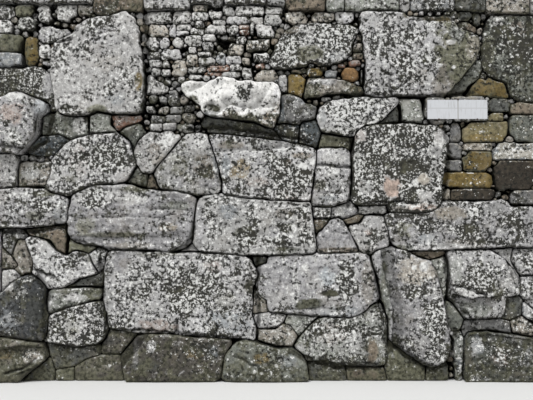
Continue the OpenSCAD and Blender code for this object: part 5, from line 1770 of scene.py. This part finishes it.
@dataclass
class FourthCourse(Masonry):
    """The uppermost large blocks, the white block among them, and the stones round them."""

    blocks: tuple[Block, ...] = (
        Block("pale_boulder", Look(LILAC, 35, 25, 5, 88), Wear(
            corner=0.04, arris=0.05, swell=0.014, facets=5, chips=3,
        ), (
            Ledge(((-183, 234), (-200, 235), (-212, 240)), 1.2, 6),
            Ledge(((-191, 193), (-192, 210), (-196, 226)), 2, 9),
            Crack(((-214, 205), (-208, 213), (-212, 222)), 0.8, 0.8),
        ), (
            Patch(-208, 237, 10, 3.5, WHITE, 90, 0, 0, 85), Patch(-210, 222, 10, 9, PINK, 20, 5, 0, 60, 95),
            Patch(-188, 229, 7, 7, COOL, 20, 5, 0, 80, 130),
            Patch(-210, 203, 8, 8, GREEN, 80, 20, 20, 70, 110),
            Patch(-184, 205, 5, 16, BLUE, 10, 30, 20, 90, 50),
        )),
        Block("arched_block", Look(OLIVE, 70, 90, 30, 132), Wear(
            swell=0.014, arris=0.042, corner=0.03,
        ), patches=(
            Patch(-184, 247, 6, 13, LILAC, 30, 10, 0, 95), Patch(-193, 260, 12, 4, PALE, 100, 80, 0, 85),
            Patch(-216, 246, 7, 7, DARK, 10, 60, 30, 80), Patch(-197, 250, 9, 7, OLIVE, 70, 100, 20, 70),
        )),
        Block("upper_left_slab", Look(PALE, 45, 30, 2), Wear(facets=3), (
            Crack(((-121, 288), (-116, 285), (-113, 279)), 1.4, 1.2), Hollow(-119, 283, 4, 4, 0.7),
            Crack(((-178, 284), (-171, 283.5), (-164, 285)), 1, 1.6),
            Crack(((-182, 296), (-175, 300), (-171, 306)), 1, 1.4), Hollow(-157, 263, 1.6, 6, 1.2),
            Hollow(-168, 227, 6, 3, 1.6), Crack(((-112, 272), (-106, 264), (-100, 260)), 0.9, 0.8),
            Ledge(((-150, 224), (-149, 231), (-146, 240)), 0.7, 6),
        ), (
            Patch(-164, 250, 14, 22, PALE, 50, 12, 0, 70, 102),
            Patch(-140, 286, 14, 16, LILAC, 50, 50, 0, 80, 95),
            Patch(-118, 284, 3.5, 4, PALE, 100, 30, 0, 90, 130),
            Patch(-107, 250, 3.5, 9, OCHRE, 0, 20, 40, 90, 80),
            Patch(-168, 227, 5, 3.5, DARK, 50, 90, 30, 90), Patch(-171, 225, 2.5, 2, WHITE, 100, 0, 0),
            Patch(-126, 236, 8, 6, COOL, 50, 20, 0, 90, 120),
            Patch(-125, 250, 16, 10, PALE, 60, 30, 0, 70, 110),
            Patch(-142, 227, 10, 4, OLIVE, 10, 30, 60, 80, 120),
            Patch(-167, 297, 5, 8, COOL, 10, 30, 30, 85, 75), Patch(-121, 305, 8, 4, WHITE, 90, 40, 0, 50),
            Patch(-135, 265, 16, 8, WARM, 40, 40, 0, 40),
        )),
        Block("white_block", Look(WHITE, 50, 12, 0, 106), Wear(
            swell=0.03, facets=5, arris=0.034, corner=0.02, grit=0.006,
        ), (
            Hollow(-68, 245, 6, 6, -1.2), Ledge(((-46, 254), (-50, 247), (-60, 242), (-72, 237)), 1.6, 8),
            Ledge(((8, 252), (3, 243), (-3, 234)), 1.4, 9), Hollow(-17, 240, 8, 7, 1.4),
            Hollow(-33, 234, 5, 4, 1.2), Hollow(-47, 229, 6, 4, 1.6),
            Ledge(((5, 228), (-12, 226), (-30, 229), (-38, 224)), 1.8, 8),
        ), (
            Patch(-18, 241, 8, 8, WHITE, 90, 100, 0, 100, 95),
            Patch(-67, 240, 6, 5, GREEN, 60, 10, 0, 40, 200),
            Patch(-62, 234, 6, 5, OLIVE, 40, 50, 50, 90, 90),
            Patch(-30, 222, 7, 5, BROWN, 50, 50, 30, 90, 130),
            Patch(-46, 227, 7, 4, OLIVE, 40, 70, 50, 95, 70), Patch(-10, 219, 14, 5, OLIVE, 50, 60, 50, 95),
            Patch(3, 218, 7, 9, BROWN, 40, 50, 40, 90, 120), Patch(8, 228, 4, 5, BROWN, 20, 30, 20, 80),
            Patch(-46, 222, 7, 3, COOL, 80, 20, 0, 80, 140), Patch(-24, 228, 9, 4, LILAC, 50, 30, 0, 50),
            Patch(8, 240, 3, 8, LILAC, 10, 0, 0, 70, 160), Patch(-42, 250, 8, 4, LILAC, 40, 40, 0, 60),
        )),
        Block("grey_block", Look(GREY, 20, 30, 20, 55), Wear(arris=0.027), (
            Ledge(((16, 238), (17, 226), (14, 215)), 1.6, 6),
            Crack(((20, 214), (30, 216), (40, 218)), 0.9, 1),
        ), (
            Patch(12, 224, 3, 12, BLUE, 20, 10, 0, 90, 120), Patch(28, 234, 6, 4, COOL, 20, 20, 0, 70, 90),
            Patch(36, 223, 5, 4, GREY, 40, 30, 10, 70, 90),
        )),
        Block("lichen_block", Look(LILAC, 100, 50, 5, 150), Wear(swell=0.012), (
            Ledge(((111, 228), (98, 231), (90, 226), (84, 214)), 1.2, 8),
        ), (
            Patch(64, 222, 12, 10, PALE, 100, 45, 0, 90, 130),
            Patch(47, 221, 3, 9, COOL, 60, 10, 0, 90, 150), Patch(90, 228, 9, 6, LILAC, 60, 30, 0, 80, 110),
            Patch(84, 232, 7, 3, PALE, 100, 60, 0, 90), Patch(60, 209, 18, 4, OLIVE, 50, 70, 40, 50, 120),
            Patch(48, 230, 6, 4, BROWN, 50, 60, 10, 60),
        )),
        Block("low_block", Look(WARM, 30, 35, 25, 70), Wear(swell=0.008, facets=3, arris=0.019), patches=(
            Patch(48, 250, 12, 3, LILAC, 40, 20, 0, 80, 95),
            Patch(38, 240, 8, 4, OLIVE, 20, 30, 40, 70, 120),
            Patch(76, 246, 6, 6, OCHRE, 10, 30, 30, 60, 70),
        )),
        Block("speckled_block", Look(GREY, 85, 70, 10, 115), Wear(swell=0.012, arris=0.034), (
            Ledge(((8, 288), (18, 291), (30, 290)), 0.9, 6),
        ), (
            Patch(58, 286, 14, 12, LILAC, 90, 70, 0, 90, 110),
            Patch(17, 276, 9, 10, GREY, 100, 100, 10, 90, 80),
            Patch(37, 274, 12, 8, OLIVE, 15, 40, 50, 85, 110), Patch(60, 271, 9, 5, COOL, 60, 40, 10, 70),
            Patch(20, 294, 9, 4, BROWN, 5, 30, 30, 80), Patch(35, 264, 14, 3, OCHRE, 10, 30, 40, 60, 70),
        )),
        Block("upper_right_block", Look(LILAC, 60, 50, 3, 105), Wear(facets=3, arris=0.027, bedding=0.004), (
            Ledge(((159, 300), (126, 301), (112, 309)), 2.4, 10),
            Crack(((97, 258), (102, 255.5), (106, 256)), 1, 1.6),
            Crack(((104, 254), (103, 248), (105, 240)), 1, 1.4),
            Crack(((120, 252), (114, 247), (108, 243)), 0.9, 1.2),
            Ledge(((138, 298), (140, 280), (139, 262), (137, 242)), 0.7, 9),
            Crack(((166, 294), (171, 289), (179, 290)), 0.9, 1.2), Hollow(116.5, 272, 1.4, 1.4, 1.2),
        ), (
            Patch(163, 272, 23, 38, OLIVE, 5, 40, 25, 100, 105),
            Patch(146, 248, 9, 14, WARM, 10, 20, 20, 80, 75),
            Patch(173, 278, 6, 14, WARM, 10, 20, 15, 70, 75),
            Patch(143, 304, 14, 4, OCHRE, 0, 20, 35, 70, 80), Patch(118, 307, 5, 4, BROWN, 0, 40, 40, 80),
            Patch(154, 283, 4, 2.2, PALE, 100, 20, 0, 100, 130), Patch(144, 263.5, 3, 1.6, WHITE, 100, 0, 0),
            Patch(156.5, 262, 1.6, 1.6, WHITE, 100, 0, 0), Patch(136, 254, 5, 3, WHITE, 100, 40, 0, 70),
            Patch(159, 290, 7, 7, COOL, 45, 40, 10, 55, 80), Patch(125, 256, 9, 9, WARM, 70, 60, 20, 60),
            Patch(136, 282, 5, 6, LILAC, 50, 10, 0, 90, 130), Patch(82, 307, 5, 4, PALE, 20, 0, 0, 90, 110),
            Patch(100, 284, 16, 18, LILAC, 75, 60, 0, 70, 110),
            Patch(124, 272, 10, 12, LILAC, 60, 40, 0, 70, 115),
        )),
        Block("far_right_block", Look(GREEN, 30, 70, 30, 60), Wear(
            facets=3, bedding=0.012, arris=0.034,
        ), patches=(
            Patch(200, 270, 12, 12, None, 55, 70, 10, 80), Patch(192, 302, 9, 5, PALE, 80, 50, 0, 80),
            Patch(193, 242, 12, 9, OCHRE, 0, 20, 50, 85, 70), Patch(188, 276, 6, 15, OLIVE, 10, 30, 40, 70),
            Patch(211, 296, 7, 6, PINK, 60, 60, 0, 50, 70), Patch(190, 260, 9, 6, DARK, 5, 50, 20, 80),
        )),
        Block("upper_packing", Look(PALE, 40, 30, 10, 90), SMALL, spots={
            LICHENED: ((-224, 298), (-188, 307), (-170, 309), (50, 236)), CLEAN: ((-92, 248),),
            MAUVE: ((14, 248), (-179, 290)), BLUISH: ((55, 257), (-231, 269)), GREENISH: ((121, 226),),
            DAMP: ((167, 254),), MOSSY: ((-231, 283), (-204, 312)),
            SOILED: ((27, 260), (77, 273), (169, 296)), SHADED: ((102, 223), (178, 303), (168, 306)),
            IRON_STAINED: ((25, 247), (40, 258)), RUSTY: ((187, 246), (-199, 276)),
            REDDISH: ((63, 264), (74, 266)), Look(ORANGE, 0, 15, 10, 95): ((70, 257),),
            WHITENED: ((-187, 277), (-246, 298)), Look(GREEN, 90, 70, 0, 110): ((-203, 300),),
        }, others=(Look(WARM, 30, 30, 30, 80), Look(GREY, 30, 40, 20, 80))),
    )


@dataclass
class RubblePanel(Masonry):
    """The panel of small flat rubble between the upper blocks, some of it reddish."""

    blocks: tuple[Block, ...] = (
        Block("rubble_panel", Look(PALE, 60, 30, 5, 162), SMALL, spots={
            BLUISH: ((-35, 268),), REDDISH: ((-6, 262), (-45, 262), (-20, 292)),
        }, others=(
            Look(LILAC, 60, 30, 5, 168), Look(GREY, 50, 35, 10, 165), Look(WARM, 40, 35, 15, 135),
            Look(PALE, 70, 35, 5, 135),
        )),
    )


@dataclass
class LevellingCourse(Masonry):
    """The course that levels the wall's head: small blocks, of which the lower edge alone is known."""

    blocks: tuple[Block, ...] = (
        Block("levelling_course", Look(GREY, 45, 40, 15, 90), Wear(
            wobble=0.005, corner=0.014, arris=0.015, swell=0.007, facets=3, chips=4,
        ), spots={
            SPECKLED: ((140, 322),), GREENISH: ((58, 322), (89, 322)), SOILED: ((33, 322), (-125, 322)),
            SHADED: ((172, 322),),
        }, others=(Look(PALE, 50, 40, 10, 90), Look(WARM, 30, 40, 30, 80))),
    )


@dataclass
class Pinnings(Masonry):
    """Chips wedged into the wider joints of the seen face. No part of the model stands for them.

    They are set one by one where there is most room between the outlines, until no gap is wider
    than twice the least radius. The hole, in the wall's centimetres, stays open. sides: fewest and,
    less one, most corners of a chip; uneven: how far they are off even turns; reach: their
    distances as shares of its radius.
    """

    blocks: tuple[Block, ...] = (
        Block("pinnings", Look(GREY, 35, 30, 15, 90), SMALL, others=(
            Look(WARM, 20, 30, 20, 80), Look(PALE, 40, 30, 10, 90), Look(BROWN, 10, 30, 20, 110),
            Look(LILAC, 40, 30, 10, 90),
        )),
    )
    seed: int = 11
    spacing: float = 0.012
    search: float = 0.2
    least: float = 0.016
    most: float = 0.032
    sides: tuple = (4, 7)
    uneven: float = 0.3
    reach: tuple = (0.75, 1.0)
    sunk: tuple = (0.012, 0.035)
    flatness: tuple = (0.55, 1.0)
    rise: float = 0.012
    window: tuple = ((-2.45, 0.04), (2.45, 3.08))
    hole: Patch = Patch(-34, 283.5, 8, 5)

    def places(self, bond: Bond) -> Array:
        """Finds the room between the stones.

        Args:
            bond: the stones of the seen side.

        Returns:
            Places of a grid that lie in no stone and not in the hole.
        """
        (x0, z0), (x1, z1) = self.window
        across, up = np.meshgrid(np.arange(x0, x1, self.spacing), np.arange(z0, z1, self.spacing))
        grid = np.c_[across.ravel(), up.ravel()]
        free = self.hole.share(grid) < 0.5
        for stone in bond.stones:
            low, high = stone.outline.min(axis=0), stone.outline.max(axis=0)
            index = np.flatnonzero(((grid > low) & (grid < high)).all(axis=1))
            free[index[inside(grid[index], stone.outline)]] = False
        return grid[free]

    def survey(self, frame: dict, bonds: dict[Facing, Bond]) -> None:
        """Finds the chips: each is a rough polygon, sunk a little behind the stone that it is nearest to.

        Args:
            bonds: the sides of the wall.
        """
        bond = self.mason.bond = bonds[self.mason.facing]
        borders = [bond.border(stone) for stone in bond.stones]
        owner = np.repeat(np.arange(len(borders)), [len(border) for border in borders])
        places = self.places(bond)
        room, number = nearest_of(places, np.vstack(borders), self.search)
        chance = np.random.default_rng(self.seed)
        chips = []
        while room.max() > self.least:
            k = room.argmax()
            radius = min(room[k], self.most)
            count = chance.integers(*self.sides)
            turns = np.arange(count) + chance.uniform(-self.uneven, self.uneven, count)
            angles = turns * 2 * np.pi / count
            reach = radius * chance.uniform(*self.reach, count)
            flat = chance.uniform(*self.flatness)
            outline = places[k] + np.c_[np.cos(angles), flat * np.sin(angles)] * reach[:, None]
            beside = bond.stones[owner[number[k]]]
            rim_plane = beside.rim_plane - [chance.uniform(*self.sunk), 0, 0]
            chips.append(Stone(outline, rim_plane, rim_plane + [self.rise, 0, 0], beside.tail))
            room = np.minimum(room, np.linalg.norm(places - places[k], axis=1) - radius)
        self.stones[self.blocks[0].node] = chips
        bond.stones += chips


@dataclass
class WallHead(Masonry):
    """The rubble that fills the top between the two faces, more overgrown than they are."""

    mason: Mason = field(default_factory=lambda: Mason(Facing.TOP, 0.016))
    blocks: tuple[Block, ...] = (
        Block("top_rubble", Look(GREY, 50, 40, 35, 90), Wear(
            corner=0.02, arris=0.034, swell=0.012, chips=3,
        ), others=(Look(WARM, 40, 40, 45, 80), Look(PALE, 50, 40, 30, 90))),
    )


@dataclass
class LeftEnd(Masonry):
    """The squared stones stacked at the left end of the stretch."""

    mason: Mason = field(default_factory=lambda: Mason(Facing.LEFT, 0.015))
    blocks: tuple[Block, ...] = (
        Block("left_end", Look(GREY, 40, 40, 15, 95), Wear(arris=0.019), others=(
            Look(LILAC, 50, 40, 10), Look(WARM, 35, 35, 20, 85),
        )),
    )


@dataclass
class RightEnd(Masonry):
    """The squared stones stacked at the right end of the stretch."""

    mason: Mason = field(default_factory=lambda: Mason(Facing.RIGHT, 0.015))
    blocks: tuple[Block, ...] = (
        Block("right_end", Look(LILAC, 45, 40, 15, 95), Wear(arris=0.019), others=(
            Look(GREY, 50, 40, 10), Look(WARM, 35, 35, 20, 85),
        )),
    )


@dataclass
class BackFace(Masonry):
    """The unseen face, which repeats the heights of the seen courses."""

    mason: Mason = field(default_factory=lambda: Mason(Facing.BACK, 0.017, (0.012, 0.05)))
    blocks: tuple[Block, ...] = tuple(
        Block(node, Look(GREY, 50, 50, 10), Wear(swell=0.022, facets=6, bedding=0.003), others=(
            Look(LILAC, 55, 40, 5), Look(PALE, 50, 35, 10, 95), Look(WARM, 35, 35, 20, 90),
            Look(GREEN, 40, 40, 25, 90),
        ))
        for node in ("back_low_courses", "back_tall_courses")
    )


@dataclass(frozen=True)
class CoreFinish:
    """Loose rubble deep in the joints: rough and damp, painted dark as the shade there, and darker between
    its stones.
    """

    stone_size: float = 0.05
    shadow: tuple = (0.10, 0.095, 0.08)
    stone: tuple = (0.20, 0.195, 0.17)

    def material(self) -> bpy.types.Material:
        """Makes the material: cells for the small stones, with painted shade darkening the gaps between
        them.

        Returns:
            The material.
        """
        material, s = blank("loose_rubble")
        place = s.place()
        near, pick, _ = s.cells(place, 1 / self.stone_size)
        fine = s.noise(place, 60.0, 5.0, 0.65)
        colour = s.mix(pick, plain(self.shadow), plain(self.stone))
        # Painted shade: darker towards the edges of the cells, between the small stones
        colour = s.dimmed(colour, s.ramp(near, 0.25, 0.75, 1.0, 0.2))
        colour = s.dimmed(colour, s.ramp(fine, 0.3, 0.7, 0.6, 1.3))
        height = s.maths("MULTIPLY_ADD", fine, 0.3, s.maths("MULTIPLY", near, -1.0))
        s.finish({"Base Color": colour, "Roughness": 0.95, "Normal": s.bump(1.0, 0.02, height)})
        return material


@dataclass(frozen=True)
class PlateFinish:
    """Weathered enamel of the bare plate, and the dull steel of its pins."""

    enamel: tuple = (0.60, 0.615, 0.64)
    grime: tuple = (0.30, 0.29, 0.27)
    steel: tuple = (0.05, 0.047, 0.045)
    seam: float = 1.60
    crease: float = 2.275
    edge: float = 0.0012
    rust: tuple = (0.085, 0.045, 0.025)

    def plate(self) -> bpy.types.Material:
        """Makes pale enamel with faint streaks of dirt that run down it, a seam and a faint crease.

        Returns:
            The material.
        """
        material, s = blank("plate_enamel")
        place = s.place()
        stretched = s.add("ShaderNodeMapping", {"Vector": place, "Scale": (1.0, 1.0, 0.12)}).outputs[0]
        streak = s.ramp(s.noise(stretched, 60.0, 5.0, 0.6), 0.45, 0.75)
        cloud = s.ramp(s.noise(place, 14.0, 4.0, 0.6), 0.4, 0.7, 0.1, 0.6)
        dirt = s.maths("MULTIPLY", streak, cloud)
        speck = s.ramp(s.noise(place, 300.0, 2.0), 0.68, 0.74, 0.0, 0.5)
        across = s.add("ShaderNodeSeparateXYZ", {0: place}).outputs
        marks = s.maths("MAXIMUM", dirt, speck)
        for axis, middle, strength in ((0, self.seam, 0.9), (2, self.crease, 0.35)):
            off = s.maths("ABSOLUTE", s.maths("SUBTRACT", across[axis], middle))
            marks = s.maths("MAXIMUM", marks, s.ramp(off, 0.002, 0.006, strength, 0.0))
        colour = s.mix(marks, plain(self.enamel), plain(self.grime))
        rough = s.ramp(dirt, 0.0, 0.6, 0.38, 0.75)
        s.finish({"Base Color": colour, "Roughness": rough, "Coat Weight": 0.1})
        return material

    def pins(self) -> bpy.types.Material:
        """Makes dull steel with spots of rust.

        Returns:
            The material.
        """
        material, s = blank("dull_pin")
        place = s.place()
        rusty = s.ramp(s.noise(place, 180.0, 4.0, 0.6), 0.45, 0.6)
        s.finish({
            "Base Color": s.mix(rusty, plain(self.steel), plain(self.rust)),
            "Metallic": s.ramp(rusty, 0.0, 1.0, 0.9, 0.1),
            "Roughness": s.ramp(rusty, 0.0, 1.0, 0.45, 0.9),
        })
        return material


@dataclass
class CarriedParts:
    """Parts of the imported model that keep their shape: the core, the bare plate and its pins."""

    core: CoreFinish = CoreFinish()
    plate: PlateFinish = PlateFinish()

    def dress(self, frame: dict) -> None:
        """Gives each carried part its material, and reports it.
        """
        parts = (
            ("rubble_core", self.core.material()),
            ("plaque", self.plate.plate()),
            ("plaque_pins", self.plate.pins()),
        )
        for name, material in parts:
            part = frame["nodes"][name]
            part.data.materials.clear()
            part.data.materials.append(material)
            LOG.info("%s: carried over in %s", name, material.name)
        bevel = frame["nodes"]["plaque"].modifiers.new("edge", "BEVEL")
        bevel.width = self.plate.edge
        bevel.segments = 2


@dataclass
class Studio:
    """Floor, light and camera."""

    distance: float = 7.55
    eye_height: float = 1.508
    to_face: float = 7.0
    width_seen: float = 4.4417
    sensor: float = 36.0
    sky: float = 0.37
    key: float = 2.6
    key_spread: float = 30
    key_tilt: float = 34
    key_turn: float = -22
    floor_size: float = 60.0
    floor_colour: tuple = (0.80, 0.80, 0.79)
    backdrop: tuple = (0.92, 0.93, 0.94)

    def place_camera(self) -> None:
        """Sets the camera square to the face, at the photograph's height and spread."""
        data = bpy.data.cameras.new("camera")
        camera = placed("camera", data)
        camera.location = (0, -self.distance, self.eye_height)
        camera.rotation_euler = (math.radians(90), 0, 0)
        data.sensor_width = self.sensor
        data.lens = self.sensor * self.to_face / self.width_seen
        bpy.context.scene.camera = camera

    def light(self) -> None:
        """Sets an even sky, and a broad soft lamp above, in front and a little to the left."""
        world = bpy.data.worlds.new("sky")
        bpy.context.scene.world = world
        world.use_nodes = True
        world.node_tree.nodes.clear()
        s = Shading(world.node_tree)
        path = s.add("ShaderNodeLightPath").outputs
        seen = s.maths("MAXIMUM", path["Is Camera Ray"], path["Is Glossy Ray"])
        seen = s.maths("MAXIMUM", seen, path["Is Transmission Ray"])
        even = plain((self.sky, self.sky, self.sky))
        sky = s.add("ShaderNodeBackground")
        s.put(sky.inputs["Color"], s.mix(seen, even, plain(self.backdrop)))
        s.add("ShaderNodeOutputWorld", {"Surface": sky.outputs[0]})
        lamp = bpy.data.lights.new("key", "SUN")
        lamp.energy = self.key
        lamp.angle = math.radians(self.key_spread)
        placed("key", lamp).rotation_euler = (math.radians(self.key_tilt), 0, math.radians(self.key_turn))

    def lay_floor(self) -> None:
        """Lays a plain pale floor."""
        half = self.floor_size / 2
        mesh = bpy.data.meshes.new("floor")
        corners = [(-half, -half, 0), (half, -half, 0), (half, half, 0), (-half, half, 0)]
        mesh.from_pydata(corners, [], [(0, 1, 2, 3)])
        floor = placed("floor", mesh)
        material, s = blank("floor")
        s.finish({"Base Color": plain(self.floor_colour), "Roughness": 0.9})
        mesh.materials.append(material)

    def build(self) -> None:
        """Sets up the camera, the light and the floor."""
        self.place_camera()
        self.light()
        self.lay_floor()
        bpy.context.scene.view_settings.view_transform = "Standard"


def main() -> None:
    """Builds the looks of every piece, then the studio round them."""
    logging.basicConfig(level=logging.INFO, format="%(message)s")
    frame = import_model()
    crust = crust_group()
    materials = {finish.name: finish.material(crust) for finish in FINISHES}
    assemblies = (
        Footing(), FirstCourse(), SecondCourse(), ThirdCourse(), FourthCourse(), RubblePanel(),
        LevellingCourse(), WallHead(), LeftEnd(), RightEnd(), BackFace(), Pinnings(),
    )
    bonds = {facing: Bond() for facing in Facing}
    for assembly in assemblies:
        assembly.survey(frame, bonds)
    for assembly in assemblies:
        assembly.build(frame, materials)
    CarriedParts().dress(frame)
    Studio().build()


if __name__ == "__main__":
    main()
